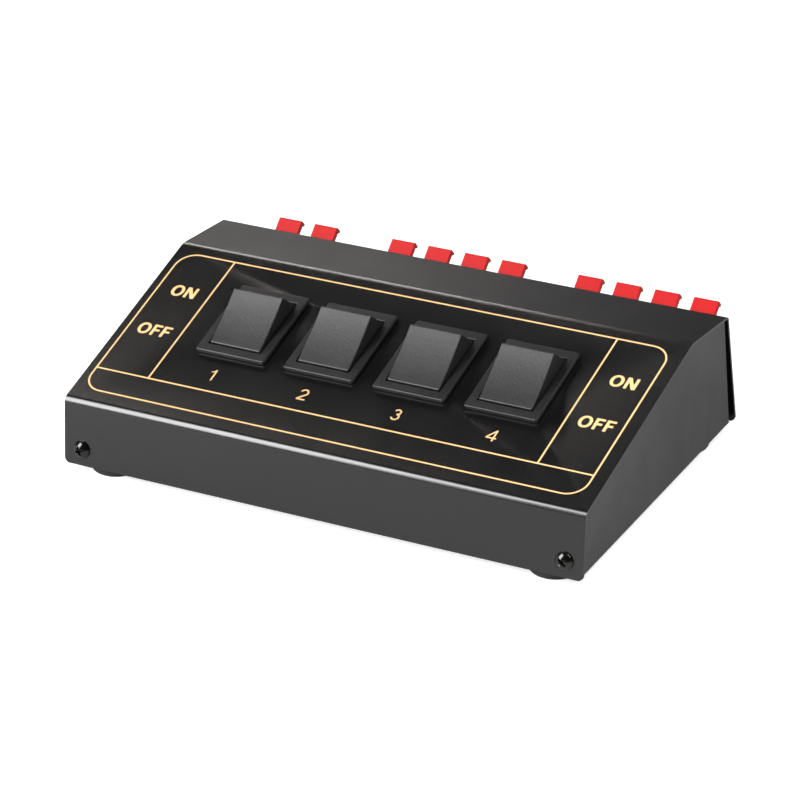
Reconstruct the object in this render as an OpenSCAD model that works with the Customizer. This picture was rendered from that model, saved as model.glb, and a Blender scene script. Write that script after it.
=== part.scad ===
// Desk-top speaker selector: a sloping sheet-metal console with four rocker
// switches on its panel and three spring-terminal blocks on its rear wall.
// X runs left to right, Y from front to rear, Z up. The origin lies on the
// surface that the feet stand on, under the middle of the whole object.

/* [Case] */
// Width of the case, side to side
case_w = 185; // [150:1:240]
// Length of the front face, measured up the sheet
front_len = 21.8; // [18:0.1:32]
// Lean of the front face, back from upright (degrees)
front_lean = 10; // [0:0.5:16]
// Length of the sloping control panel
panel_len = 77.2; // [64:0.1:110]
// Rise of the control panel towards the rear (degrees)
panel_tilt = 15.5; // [10:0.5:22]
// Length of the top strip behind the panel
top_len = 26.1; // [20:0.1:45]
// Fall of the top strip towards the rear (degrees)
top_fall = 6.5; // [0:0.5:10]
// Lean of the rear wall, outwards at its foot (degrees)
rear_splay = 5.5; // [0:0.5:8]
// Height of the cover's lower edge above the lower edge of its rear wall
rear_drop = 0; // [0:0.1:3]
// Thickness of the cover sheet
cover_t = 0.8; // [0.6:0.1:1.5]
// Thickness of the chassis sheet
chassis_t = 1; // [0.6:0.1:1.5]
// Outside bend radius of the fold between the front face and the panel
front_bend_r = 2.2; // [1.6:0.1:4]
// Outside bend radius of the fold between the panel and the top strip
top_bend_r = 6; // [2:0.1:10]
// Outside bend radius of the fold between the top strip and the rear wall
rear_bend_r = 1.8; // [1.6:0.1:2]
// Radius of the cover's four free corners
corner_r = 2; // [1:0.1:4]
// Height of the chassis floor's underside above the cover's lower edge
floor_raise = 0.55; // [0.2:0.05:4]
// Distance of each side wall inside the cover's edge
side_inset = 0.3; // [0.1:0.1:1]
// Gap between the side walls and the rear wall, at the top
side_rear_gap = 1.7; // [0.5:0.1:4]
// Outside bend radius of the chassis folds
chassis_bend_r = 1.6; // [1.6:0.1:3]
// Height of the chassis's front tab above its floor
front_tab_h = 12; // [9:0.5:14]
// Height of the chassis's rear tab above its floor
rear_tab_h = 12; // [9:0.5:14]

/* [Feet] */
// Diameter of a rubber foot
foot_d = 18; // [12:0.5:24]
// Clearance of the cover's lower edge above the table
foot_h = 3.2; // [2:0.1:6]
// Distance of the front feet's middles inside the ends of the case
foot_inset_x = 13.9; // [12:0.1:30]
// Distance of the rear feet's middles inside the ends of the case
rear_foot_inset_x = 12; // [12:0.1:30]
// Distance of the front feet behind the front edge
foot_front_y = 10.4; // [10:0.1:25]
// Distance of the rear feet's middles in front of the rear fold
rear_foot_inset_y = 11.6; // [10:0.1:40]
// Diameter of the stem that holds a foot in the floor
foot_stem_d = 3.8; // [3:0.1:5]

/* [Screws] */
// Thread diameter of the cover screws
screw_d = 2.9; // [2.5:0.1:3.5]
// Diameter of a screw's pan head
screw_head_d = 6; // [5:0.1:7]
// Height of a screw's pan head
screw_head_h = 2; // [1.5:0.1:2.6]
// Length of a screw under its head
screw_len = 4.5; // [3.5:0.5:4.5]
// Distance of the front screws from the ends of the case
screw_inset_x = 6.5; // [5:0.1:12]
// Height of the front screws above the front face's lower edge
front_screw_up = 5.4; // [5:0.1:9]
// Height of the rear screws above the rear wall's lower edge
rear_screw_up = 8.5; // [7:0.1:10]

/* [Switches] */
// Number of rocker switches
switch_count = 4; // [4:1:4]
// Distance from one switch to the next
switch_pitch = 32.3; // [27:0.1:39]
// Distance of the switches' middle up the panel from the front fold
switch_v = 46.8; // [36:0.1:47]
// Width of the opening that the rocker sits in
opening_w = 19.4; // [16:0.1:23.4]
// Length of the opening that the rocker sits in, up the panel
opening_len = 24.8; // [20.6:0.1:29.8]
// Width of the bezel beside the opening
bezel_side = 2.9; // [2.4:0.1:3.5]
// Width of the bezel before and behind the opening
bezel_end = 3.3; // [2.7:0.1:4]
// Height of a bezel above the panel
bezel_h = 1.4; // [1:0.1:2.5]
// Wall of a switch body beside the rocker
body_side_t = 1.1; // [0.9:0.1:1.4]
// Wall of a switch body before and behind the rocker
body_end_t = 1.5; // [1:0.1:2]
// Depth of the rocker's pivot below the panel
pivot_depth = 2.2; // [2:0.1:2.6]
// Angle that a rocker turns from OFF to ON (degrees)
rocker_travel = 39; // [30:1:40]
// Height of the rocker's upper edges above its pivot
rocker_rise = 7.55; // [6.3:0.05:7.7]
// Distance of the rocker's upper edges inside the ends of the opening, when it is level
rocker_edge_inset = 2.44; // [2.2:0.01:3]
// Dip of the rocker's hollow face
rocker_dip = 0.45; // [0.2:0.05:0.9]
// Angle that a contact blade turns (degrees)
blade_travel = 16; // [12:1:18]

/* [Terminals] */
// Distance from one spring terminal to the next
terminal_pitch = 13.62; // [11.4:0.01:16.4]
// Distance between the two rows of terminals
row_pitch = 13.4; // [11.2:0.1:16.1]
// Width of a lever
lever_w = 8.7; // [7.2:0.05:10.4]
// Thickness of a lever's tab
lever_t = 1.75; // [1.2:0.05:2]
// Length of a lever from its pivot to its tip
lever_len = 14; // [11:0.1:16]
// Rise of a resting lever above the rear wall's outward normal (degrees)
lever_rise = 34.5; // [30:0.5:38]
// Angle that a lever turns when it is pressed (degrees)
lever_travel = 20; // [12:1:22]
// Diameter of a wire entry
wire_hole_d = 3.2; // [2.4:0.1:3.4]
// Thickness of a block's outer plate
plate_t = 2; // [1.5:0.1:2.5]
// Free width at the right of the last block
block_right_margin = 3.5; // [2:0.1:6]
// Free widths left of the three blocks, in proportion
block_gaps = [14.5, 15.05, 13.3];

/* [Hidden] */
BLOCKS = ["input", "output_a", "output_b"];
BLOCK_COLUMNS = [2, 4, 4];
ROWS = ["red", "black"];

// Finish of each family of pieces
CASE_BLACK = [0.13, 0.13, 0.14];
SWITCH_GREY = [0.22, 0.22, 0.23];
ROCKER_GREY = [0.32, 0.32, 0.33];
BLOCK_BLACK = [0.10, 0.10, 0.11];
LEVER_RED = [0.85, 0.12, 0.10];
LEVER_BLACK = [0.07, 0.07, 0.08];
RUBBER_BLACK = [0.09, 0.09, 0.09];
SCREW_BLACK = [0.16, 0.16, 0.17];
TINNED = [0.78, 0.77, 0.72];
SPRING_STEEL = [0.62, 0.63, 0.66];
COPPER = [0.75, 0.45, 0.25];
WIRE_SLEEVE = [0.20, 0.20, 0.60];

// Roundness of small and of large curves
fine_fn = 48;
bend_fn = 96;
// Number of flats that stand for a bend in sheet metal
bend_steps = 10;
// Sheet-metal clearance between cover and chassis
sheet_gap = 0.15;
// Small overlap that makes a cut run past a face
past = 0.5;
// Clearance of a screw in its holes, on the diameter
screw_play = 0.3;

// ---- Section through the case, as points [y, z] before centring ----
floor_z = foot_h + floor_raise;
// Direction of each stretch of the cover, front to rear
run_angle = [90 - front_lean, panel_tilt, -top_fall, rear_splay - 90];
corner_front = [0, foot_h];
corner_fold = corner_front + front_len * [cos(run_angle[0]), sin(run_angle[0])];
corner_ridge = corner_fold + panel_len * [cos(run_angle[1]), sin(run_angle[1])];
corner_rear = corner_ridge + top_len * [cos(run_angle[2]), sin(run_angle[2])];
rear_len = (corner_rear[1] - foot_h - rear_drop) / cos(rear_splay);
corner_foot = corner_rear + rear_len * [cos(run_angle[3]), sin(run_angle[3])];
corners = [corner_front, corner_fold, corner_ridge, corner_rear, corner_foot];
fold_r = [0, front_bend_r, top_bend_r, rear_bend_r, 0];

// Outward normal of stretch i, and the point at depth t under corner i
function outward(i) = [-sin(run_angle[i]), cos(run_angle[i])];
function under(i, t) =
    i == 0 ? corners[0] - t * outward(0)
    : i == 4 ? corners[4] - t * outward(3)
    : corners[i] - t * (outward(i - 1) + outward(i)) / (1 + outward(i - 1) * outward(i));

// ---- Lever and rear-wall geometry, in the rear wall's own frame ----
// Place of a lever's pivot, and depth of the tab's upper side above it
lever_pivot_y = -4.5;
lever_pivot_z = -8;
tab_over_pivot = 0.33;
lip_t = 0.9;
lip_len = 1.1;
// The rearmost point of the whole object is the lip of a lower lever
lip_y = lever_pivot_y + lever_len * cos(lever_rise) + (lever_t + lip_t - tab_over_pivot) * sin(lever_rise);
lip_z = lever_pivot_z + lever_len * sin(lever_rise) - (lever_t + lip_t - tab_over_pivot) * cos(lever_rise);
rear_most = corner_rear[0] + lip_y * cos(rear_splay) - (lip_z - row_pitch) * sin(rear_splay);
// The foremost point is on the dome of a front screw's head
rim_drop = 0.5;
dome_h = screw_head_h - rim_drop;
dome_r = (screw_head_d * screw_head_d / 4 + dome_h * dome_h) / (2 * dome_h);
front_most = front_screw_up * sin(front_lean) - (screw_head_h - dome_r) * cos(front_lean) - dome_r;
mid_y = (front_most + rear_most) / 2;

// ---- Derived sizes of the switches ----
switch_x0 = -switch_pitch * (switch_count - 1) / 2;
housing_w = opening_w + 2 * body_side_t;
housing_len = opening_len + 2 * body_end_t;
bezel_w = opening_w + 2 * bezel_side;
bezel_len = opening_len + 2 * bezel_end;
cutout_play = 0.4;
pole_x = opening_w / 4 - 0.1;
rocker_half_len = opening_len / 2 - rocker_edge_inset;
rocker_play = 0.2;
rocker_w = opening_w - 2 * rocker_play;
rocker_top_w = rocker_w - 0.7;
skirt_half = opening_len / 2 - 0.36;
skirt_drop = 0.42;
rocker_wall = 1.4;
trunnion_r = 1.5;
pivot_play = 0.05;
roof = rocker_rise - rocker_dip - rocker_wall;
post_w = 5.2;
post_drop = 4.6;
post_bore_top = roof - 1;
plunger_r = 1.5;
plunger_play = 0.1;
plunger_centre = 5.6;
shank_top = -2;
// The plunger's coil spring is a pile of rings that touch
spring_seat = 0.1;
spring_coils = 7;
ring_share = 0.52;
blade_t = 0.6;
blade_over_pivot = 1.15;
blade_pivot_h = -pivot_depth - plunger_centre - plunger_r - 0.06 - blade_over_pivot;
blade_half_len = 7;
blade_w = 4.8;
contact_y = 6;
contact_r = 1.2;
contact_h = 0.4;
fulcrum_r = 0.8;
fulcrum_play = 0.1;
contact_level = blade_pivot_h - 0.97;
rivet_h = 0.5;
tag_t = 0.8;
tag_w = 4.6;
housing_floor_h = contact_level - rivet_h - tag_t;
housing_floor_t = 2;
tag_len = 8;
tag_play = 0.1;
latch_out = 0.5;
latch_len = 8;
latch_h = 2.4;

// ---- Derived sizes of the terminal blocks ----
cell_w = lever_w + 0.6;
cell_depth = 11;
cell_top = -3.1;
cell_h = 10.2;
block_wall = 1.2;
block_rim = 1.4;
block_top = -2.2;
plate_top = -1.7;
block_depth = cell_depth + block_wall;
block_bottom = cell_top - cell_h - row_pitch - block_wall;
plate_bottom = block_bottom - block_rim;
window_play = 0.1;
slot_top = -2.4;
slot_bottom = -8.6;
wire_hole_z = -10.95;
lever_pin_r = 1;
lever_pin_len = 0.8;
lever_hub_r = 1.7;
nose_len = 3.2;
nose_r = 0.8;
nose_w = 3;
strip_t = 0.6;
strip_w = 6;
strip_tail = 6;
leaf_t = 0.4;
leaf_y = -7;
leaf_top = -4.2;
wire_window_w = 3.8;
wire_window_top = -9;
function body_w(b) = (BLOCK_COLUMNS[b] - 1) * terminal_pitch + cell_w + 2 * block_wall;
function plate_w(b) = body_w(b) + 2 * block_rim;
all_plates = plate_w(0) + plate_w(1) + plate_w(2);
free_w = case_w - block_right_margin - all_plates;
gap_sum = block_gaps[0] + block_gaps[1] + block_gaps[2];
function gap_w(b) = free_w * block_gaps[b] / gap_sum;
// Left end of block b's plate, then its middle
function block_left(b) = b == 0 ? -case_w / 2 + gap_w(0) : block_left(b - 1) + plate_w(b - 1) + gap_w(b);
function block_x(b) = block_left(b) + plate_w(b) / 2;
function cell_x(b, c) = (c - (BLOCK_COLUMNS[b] + 1) / 2) * terminal_pitch;
function row_drop(row) = row * row_pitch;
function rear_screw_x(side) = block_left(side + 1) - gap_w(side + 1) / 2;

// ======================= Shared placing modules =======================

// Moves a part from the case section's own Y to the centred Y
module centred() {
    translate([0, -mid_y, 0])
        children();
}

// The panel's frame: X across, Y up the slope, Z out of the panel
module on_panel() {
    centred()
        translate([0, corner_fold[0], corner_fold[1]])
            rotate([panel_tilt, 0, 0])
                children();
}

// The front face's frame: Y up the sheet, Z out of it
module on_front() {
    centred()
        translate([0, corner_front[0], corner_front[1]])
            rotate([run_angle[0], 0, 0])
                children();
}

// The rear wall's frame: Y out of the wall, Z up it, origin at the rear fold
module on_rear() {
    centred()
        translate([0, corner_rear[0], corner_rear[1]])
            rotate([rear_splay, 0, 0])
                children();
}

module at_switch(i) {
    on_panel()
        translate([switch_x0 + (i - 1) * switch_pitch, switch_v, 0])
            children();
}

// Stands a [y, z] outline up and gives it a width along X
module across(w) {
    rotate([90, 0, 90])
        linear_extrude(height = w, center = true)
            children();
}

// Points of an arc about a centre, from angle a0 to a1
function arc(centre, r, a0, a1) = [
    for (s = [0:bend_steps])
        centre + r * [cos(a0 + (a1 - a0) * s / bend_steps), sin(a0 + (a1 - a0) * s / bend_steps)]
];

// The cover's fold i, followed at a depth under its outer face
function fold_arc(i, depth) =
    arc(under(i, fold_r[i]), fold_r[i] - depth, run_angle[i - 1] + 90, run_angle[i] + 90);

function reversed(list) = [for (k = [len(list) - 1:-1:0]) list[k]];

// ======================= Cover =======================

function cover_line(depth) =
    concat([under(0, depth)], fold_arc(1, depth), fold_arc(2, depth), fold_arc(3, depth), [under(4, depth)]);

module cover_sheet() {
    centred()
        across(case_w)
            polygon(concat(cover_line(0), reversed(cover_line(cover_t))));
}

// What is cut away to round a free corner of the sheet at x = side * case_w / 2.
// The round crosses the edges just short of touching them, so that no sliver is left.
module corner_waste(side, r) {
    bite = 0.02;
    centre = r - bite;
    translate([side * (case_w / 2 - centre), centre, 0])
        difference() {
            translate([side > 0 ? 0 : -r - past, -r - past, -cover_t - past])
                cube([r + past, r + past, cover_t + 2 * past]);
            translate([0, 0, -cover_t - 2 * past])
                cylinder(h = cover_t + 4 * past, r = r, $fn = fine_fn);
        }
}

module screw_hole(t, d) {
    translate([0, 0, -t - past])
        cylinder(h = t + 2 * past, d = d, $fn = fine_fn);
}

module block_window(b) {
    translate([block_x(b) - body_w(b) / 2 - window_play, -cover_t - past, block_bottom - window_play])
        cube([body_w(b) + 2 * window_play, cover_t + 2 * past, block_top - block_bottom + 2 * window_play]);
}

module top_cover() {
    color(CASE_BLACK)
        difference() {
            cover_sheet();
            for (side = [-1, 1]) {
                on_front() {
                    corner_waste(side, corner_r);
                    translate([side * (case_w / 2 - screw_inset_x), front_screw_up, 0])
                        screw_hole(cover_t, screw_d + 2 * screw_play);
                }
                on_rear()
                    translate([0, 0, -rear_len])
                        rotate([90, 0, 180])
                            mirror([1, 0, 0])
                                corner_waste(side, corner_r);
            }
            for (side = [0, 1])
                on_rear()
                    translate([rear_screw_x(side), 0, -rear_len + rear_screw_up])
                        rotate([-90, 0, 0])
                            screw_hole(cover_t, screw_d + 2 * screw_play);
            for (i = [1:switch_count])
                at_switch(i)
                    translate([-(housing_w + cutout_play) / 2, -(housing_len + cutout_play) / 2, -cover_t - past])
                        cube([housing_w + cutout_play, housing_len + cutout_play, cover_t + 2 * past]);
            for (b = [0:2])
                on_rear()
                    block_window(b);
        }
}

// ======================= Chassis =======================

side_x = case_w / 2 - side_inset;
skin = cover_t + sheet_gap;
wall_low_z = floor_z + chassis_bend_r;
// Where the front face's inner line and the rear edge's line cross height z
function front_inner_y(z) = under(0, skin)[0] + (z - under(0, skin)[1]) * tan(front_lean);
side_rear_lean = 2.3;
side_rear_top = corner_rear - [cover_t / cos(rear_splay) + side_rear_gap, 0];
function side_rear_y(z) = side_rear_top[0] + (corner_rear[1] - z) * tan(side_rear_lean);
// The underside of the top strip at depth y
function strip_under_z(y) = under(2, skin)[1] - (y - under(2, skin)[0]) * tan(top_fall);
tab_inset = 4;
tab_root = 2;
block_room = 1;
tab_x = side_x - chassis_t - tab_inset;
floor_front_y = front_inner_y(floor_z) + chassis_bend_r * tan((90 + front_lean) / 2);
rear_inner_y = corner_rear[0] - skin / cos(rear_splay) + (corner_rear[1] - floor_z) * tan(rear_splay);
floor_rear_y = rear_inner_y - chassis_bend_r * tan((90 + rear_splay) / 2);

// The chassis seen from the side: the outline that its side walls fill
module side_outline() {
    polygon(concat(
        [[floor_front_y, floor_z], [front_inner_y(wall_low_z), wall_low_z]],
        fold_arc(1, skin),
        fold_arc(2, skin),
        [
            [side_rear_top[0], strip_under_z(side_rear_top[0])],
            [side_rear_y(wall_low_z), wall_low_z],
            [floor_rear_y, floor_z]
        ]));
}

// One half of the chassis's section, seen from the front: a wall and half the floor
function wall_line(side, depth) = concat(
    [[side * (side_x - depth), corner_ridge[1]]],
    arc([side * (side_x - chassis_bend_r), wall_low_z], chassis_bend_r - depth, side > 0 ? 0 : 180, side > 0 ? -90 : 270)
);

module channel_outline() {
    polygon(concat(
        wall_line(1, 0), reversed(wall_line(-1, 0)),
        wall_line(-1, chassis_t), reversed(wall_line(1, chassis_t))
    ));
}

// A tab that rises from an end of the floor and leans with the cover
module floor_tab(y, toward, lean, height) {
    centre = [0, floor_z + chassis_bend_r];
    flat = (height - chassis_bend_r) * [sin(lean), cos(lean)];
    outer = arc(centre, chassis_bend_r, -90, lean);
    inner = arc(centre, chassis_bend_r - chassis_t, -90, lean);
    root = [-tab_root, 0];
    last = bend_steps;
    translate([0, y, 0])
        mirror([0, toward > 0 ? 0 : 1, 0])
            across(2 * tab_x)
                polygon(concat(
                    [outer[0] + root], outer, [outer[last] + [-flat[0], flat[1]]],
                    [inner[last] + [-flat[0], flat[1]]], reversed(inner), [inner[0] + root]
                ));
}

module base_chassis() {
    color(CASE_BLACK)
        difference() {
            centred()
                union() {
                    intersection() {
                        translate([0, corner_foot[0], 0])
                            rotate([90, 0, 0])
                                linear_extrude(height = corner_foot[0])
                                    channel_outline();
                        across(2 * case_w)
                            side_outline();
                    }
                    floor_tab(floor_front_y, -1, front_lean, front_tab_h);
                    floor_tab(floor_rear_y, 1, rear_splay, rear_tab_h);
                }
            for (side = [-1, 1])
                on_front()
                    translate([side * (case_w / 2 - screw_inset_x), front_screw_up, -cover_t])
                        screw_hole(chassis_t + 2 * sheet_gap, screw_d + 0.1);
            for (side = [0, 1])
                on_rear()
                    translate([rear_screw_x(side), -cover_t, -rear_len + rear_screw_up])
                        rotate([-90, 0, 0])
                            screw_hole(chassis_t + 2 * sheet_gap, screw_d + 0.1);
            at_feet()
                translate([0, 0, floor_z - past])
                    cylinder(h = chassis_t + 2 * past, d = foot_stem_d + tag_play, $fn = fine_fn);
            // Room in the rear tab for the terminal blocks
            for (b = [0:2])
                on_rear()
                    translate([block_x(b) - body_w(b) / 2 - block_room, -block_depth, block_bottom - block_room])
                        cube([body_w(b) + 2 * block_room, block_depth, -block_bottom]);
        }
}

// ======================= Feet and screws =======================

module at_feet() {
    centred()
        for (side = [-1, 1]) {
            translate([side * (case_w / 2 - foot_inset_x), foot_front_y, 0])
                children();
            translate([side * (case_w / 2 - rear_foot_inset_x), corner_rear[0] - rear_foot_inset_y, 0])
                children();
        }
}

module foot() {
    r = foot_d / 2;
    edge = 1;
    barb_r = foot_stem_d / 2 + 0.5;
    top = floor_z + chassis_t;
    rotate_extrude($fn = bend_fn)
        polygon([
            [0, 0], [r - edge, 0], [r - edge * 0.3, edge * 0.3], [r, edge], [r, floor_z],
            [foot_stem_d / 2, floor_z], [foot_stem_d / 2, top + sheet_gap], [barb_r, top + sheet_gap],
            [foot_stem_d / 2 - 0.4, top + 2], [0, top + 2]
        ]);
}

module rubber_feet() {
    color(RUBBER_BLACK)
        at_feet()
            foot();
}

// A pan-head screw along -Z, its head standing on z = 0
module pan_screw() {
    slot_l = screw_head_d * 0.55;
    slot_t = 0.8;
    slot_depth = 1.2;
    difference() {
        union() {
            cylinder(h = rim_drop, d = screw_head_d, $fn = fine_fn);
            translate([0, 0, rim_drop])
                intersection() {
                    translate([0, 0, screw_head_h - rim_drop - dome_r])
                        sphere(r = dome_r, $fn = bend_fn);
                    cylinder(h = screw_head_h, d = screw_head_d, $fn = fine_fn);
                }
            translate([0, 0, -screw_len])
                cylinder(h = screw_len + rim_drop, d = screw_d, $fn = fine_fn);
        }
        for (a = [0, 90])
            rotate([0, 0, a])
                translate([-slot_l / 2, -slot_t / 2, screw_head_h - slot_depth])
                    cube([slot_l, slot_t, screw_head_h]);
    }
}

module cover_screws() {
    color(SCREW_BLACK) {
        for (side = [-1, 1])
            on_front()
                translate([side * (case_w / 2 - screw_inset_x), front_screw_up, 0])
                    rotate([0, 0, 45])
                        pan_screw();
        for (side = [0, 1])
            on_rear()
                translate([rear_screw_x(side), 0, -rear_len + rear_screw_up])
                    rotate([-90, 0, 0])
                        pan_screw();
    }
}

// ======================= Rocker switches =======================

module switch_housing(i) {
    color(SWITCH_GREY)
        at_switch(i)
            difference() {
                union() {
                    translate([-bezel_w / 2, -bezel_len / 2, 0])
                        cube([bezel_w, bezel_len, bezel_h]);
                    translate([-housing_w / 2, -housing_len / 2, housing_floor_h - housing_floor_t])
                        cube([housing_w, housing_len, -housing_floor_h + housing_floor_t]);
                    // Latches that hold the housing in the panel
                    for (end = [-1, 1])
                        translate([-latch_len / 2, end * housing_len / 2 - latch_out, -cover_t - sheet_gap - latch_h])
                            cube([latch_len, 2 * latch_out, latch_h]);
                }
                difference() {
                    translate([-opening_w / 2, -opening_len / 2, housing_floor_h])
                        cube([opening_w, opening_len, bezel_h - housing_floor_h + past]);
                    // Rest for the rear ends of the contact blades
                    translate([-opening_w / 2 - past, contact_y - contact_r, housing_floor_h - past])
                        cube([opening_w + 2 * past, 2 * contact_r, contact_level - housing_floor_h + past]);
                }
                translate([0, 0, -pivot_depth])
                    rotate([0, 90, 0])
                        cylinder(h = housing_w + 2 * past, r = trunnion_r + pivot_play, center = true, $fn = fine_fn);
                for (side = [-1, 1], y = [0, -contact_y - 2 * contact_r])
                    translate([side * pole_x, y, housing_floor_h - housing_floor_t / 2])
                        cube([tag_w + tag_play, tag_t + tag_play, housing_floor_t + 2 * past], center = true);
            }
}

// Turns a rocker, or what rides on it, from level to its OFF position
module rocker_off() {
    translate([0, 0, -pivot_depth])
        rotate([rocker_travel / 2, 0, 0])
            children();
}

module rocker_shape() {
    intersection() {
        across(rocker_w)
            polygon([
                [-rocker_half_len, rocker_rise], [rocker_half_len, rocker_rise],
                [skirt_half, -skirt_drop], [skirt_half - 1, -skirt_drop - 1],
                [-skirt_half + 1, -skirt_drop - 1], [-skirt_half, -skirt_drop]
            ]);
        rotate([90, 0, 0])
            linear_extrude(height = 2 * opening_len, center = true)
                polygon([
                    [-rocker_top_w / 2, rocker_rise], [rocker_top_w / 2, rocker_rise],
                    [rocker_w / 2, 0], [rocker_w / 2, -skirt_drop - 1],
                    [-rocker_w / 2, -skirt_drop - 1], [-rocker_w / 2, 0]
                ]);
    }
}

module switch_rocker(i) {
    dip_r = (rocker_half_len * rocker_half_len + rocker_dip * rocker_dip) / (2 * rocker_dip);
    inside_w = rocker_top_w - 2 * rocker_wall;
    color(ROCKER_GREY)
        at_switch(i)
            rocker_off()
                difference() {
                    union() {
                        difference() {
                            rocker_shape();
                            translate([0, 0, rocker_rise - rocker_dip + dip_r])
                                rotate([0, 90, 0])
                                    cylinder(h = opening_w, r = dip_r, center = true, $fn = 360);
                            across(inside_w)
                                polygon([
                                    [-rocker_half_len + rocker_wall, roof], [rocker_half_len - rocker_wall, roof],
                                    [skirt_half - rocker_wall - 0.4, -skirt_drop - 1 - past],
                                    [-skirt_half + rocker_wall + 0.4, -skirt_drop - 1 - past]
                                ]);
                        }
                        for (side = [-1, 1])
                            translate([side * pole_x, 0, (roof + past - post_drop) / 2])
                                cube([post_w, post_w, roof + past + post_drop], center = true);
                        for (side = [-1, 1])
                            translate([side * (rocker_w / 2 - rocker_wall), 0, 0])
                                rotate([0, side * 90, 0])
                                    cylinder(h = rocker_wall + body_side_t - rocker_play / 2, r = trunnion_r, $fn = fine_fn);
                    }
                    for (side = [-1, 1])
                        translate([side * pole_x, 0, -post_drop - past])
                            cylinder(
                                h = post_bore_top + post_drop + past, r = plunger_r + plunger_play,
                                $fn = fine_fn);
                }
}

// Spring-loaded tips that ride in the rocker's two posts
module switch_plungers(i) {
    spring_len = post_bore_top - spring_seat - shank_top;
    ring_step = spring_len / (spring_coils + 2 * ring_share - 1);
    ring_r = ring_share * ring_step;
    at_switch(i)
        rocker_off()
            for (side = [-1, 1])
                translate([side * pole_x, 0, 0]) {
                    color(COPPER) {
                        translate([0, 0, -plunger_centre])
                            cylinder(h = plunger_centre + shank_top, r = plunger_r, $fn = fine_fn);
                        translate([0, 0, -plunger_centre])
                            sphere(r = plunger_r, $fn = fine_fn);
                    }
                    color(SPRING_STEEL)
                        rotate_extrude($fn = fine_fn)
                            for (k = [0:spring_coils - 1])
                                translate([plunger_r - plunger_play - ring_r, shank_top + ring_r + k * ring_step])
                                    circle(r = ring_r, $fn = 24);
                }
}

// The two rocking blades, tilted to the OFF side (rear end down)
module switch_contact_blades(i) {
    color(COPPER)
        at_switch(i)
            translate([0, 0, blade_pivot_h])
                rotate([-blade_travel / 2, 0, 0])
                    for (side = [-1, 1])
                        translate([side * pole_x, 0, 0])
                            difference() {
                                union() {
                                    translate([-blade_w / 2, -blade_half_len, blade_over_pivot - blade_t])
                                        cube([blade_w, 2 * blade_half_len, blade_t]);
                                    translate([-blade_w / 2, -2 * fulcrum_r, -0.2])
                                        cube([blade_w, 4 * fulcrum_r, blade_over_pivot]);
                                    for (end = [-1, 1])
                                        translate([0, end * contact_y, blade_over_pivot - blade_t - contact_h])
                                            cylinder(h = contact_h + blade_t / 2, r = contact_r, $fn = fine_fn);
                                }
                                rotate([0, 90, 0])
                                    cylinder(
                                        h = blade_w + 2 * past, r = fulcrum_r + fulcrum_play,
                                        center = true, $fn = fine_fn);
                            }
}

// Centre tags with the blades' fulcrums, and front tags with fixed contacts
module switch_terminals(i) {
    tag_bottom = housing_floor_h - housing_floor_t - tag_len;
    front_y = -contact_y - 2 * contact_r;
    color(TINNED)
        at_switch(i)
            for (side = [-1, 1])
                translate([side * pole_x, 0, 0]) {
                    translate([0, 0, blade_pivot_h])
                        rotate([0, 90, 0])
                            cylinder(h = tag_w, r = fulcrum_r, center = true, $fn = fine_fn);
                    translate([-tag_w / 2, -tag_t / 2, tag_bottom])
                        cube([tag_w, tag_t, blade_pivot_h - tag_bottom]);
                    translate([-tag_w / 2, front_y - tag_t / 2, tag_bottom])
                        cube([tag_w, tag_t, housing_floor_h + tag_t - tag_bottom]);
                    translate([-tag_w / 2, front_y - tag_t / 2, housing_floor_h])
                        cube([tag_w, 3 * contact_r + tag_t, tag_t]);
                    translate([0, -contact_y, housing_floor_h + tag_t / 2])
                        cylinder(h = rivet_h + tag_t / 2, r = contact_r, $fn = fine_fn);
                }
}

// ======================= Terminal blocks =======================

module at_cell(b, c, row) {
    on_rear()
        translate([block_x(b) + cell_x(b, c), 0, -row_drop(row)])
            children();
}

module cell_cuts(row) {
    // The cell, the lever's slot in the plate, and the round wire entry
    translate([-cell_w / 2, -cell_depth, cell_top - cell_h])
        cube([cell_w, cell_depth, cell_h]);
    translate([-cell_w / 2, -past, slot_bottom])
        cube([cell_w, plate_t + 2 * past, slot_top - slot_bottom + (row == 0 ? 2 : 0)]);
    translate([0, -past, wire_hole_z])
        rotate([-90, 0, 0])
            cylinder(h = plate_t + 2 * past, d = wire_hole_d, $fn = fine_fn);
    // Bearings for the lever's pins
    translate([0, lever_pivot_y, lever_pivot_z])
        rotate([0, 90, 0])
            cylinder(h = cell_w + 2 * (lever_pin_len + 0.2), r = lever_pin_r + pivot_play, center = true, $fn = fine_fn);
    // Slit for the contact strip's tail
    translate([-strip_w / 2 - tag_play, -block_depth - past, cell_top - cell_h])
        cube([strip_w + 2 * tag_play, block_wall + 2 * past, strip_t + tag_play]);
}

module terminal_block(b) {
    w = body_w(b);
    catch_h = 8;
    catch_t = 1.6;
    color(BLOCK_BLACK)
        difference() {
            on_rear()
                translate([block_x(b), 0, 0]) {
                    translate([-plate_w(b) / 2, 0, plate_bottom])
                        cube([plate_w(b), plate_t, plate_top - plate_bottom]);
                    translate([-w / 2, -block_depth, block_bottom])
                        cube([w, block_depth + past, block_top - block_bottom]);
                    // Catches that hold the block in the rear wall
                    for (end = [-1, 1])
                        translate([
                            end * w / 2 - latch_out, -cover_t - sheet_gap - catch_t,
                            (block_top + block_bottom - catch_h) / 2
                        ])
                            cube([2 * latch_out, catch_t, catch_h]);
                }
            for (c = [1:BLOCK_COLUMNS[b]], row = [0, 1])
                at_cell(b, c, row)
                    cell_cuts(row);
        }
}

module contact_strips(b) {
    color(TINNED)
        for (c = [1:BLOCK_COLUMNS[b]], row = [0, 1])
            at_cell(b, c, row)
                translate([-strip_w / 2, -block_depth - strip_tail, cell_top - cell_h])
                    cube([strip_w, block_depth + strip_tail - plate_t, strip_t]);
}

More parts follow.
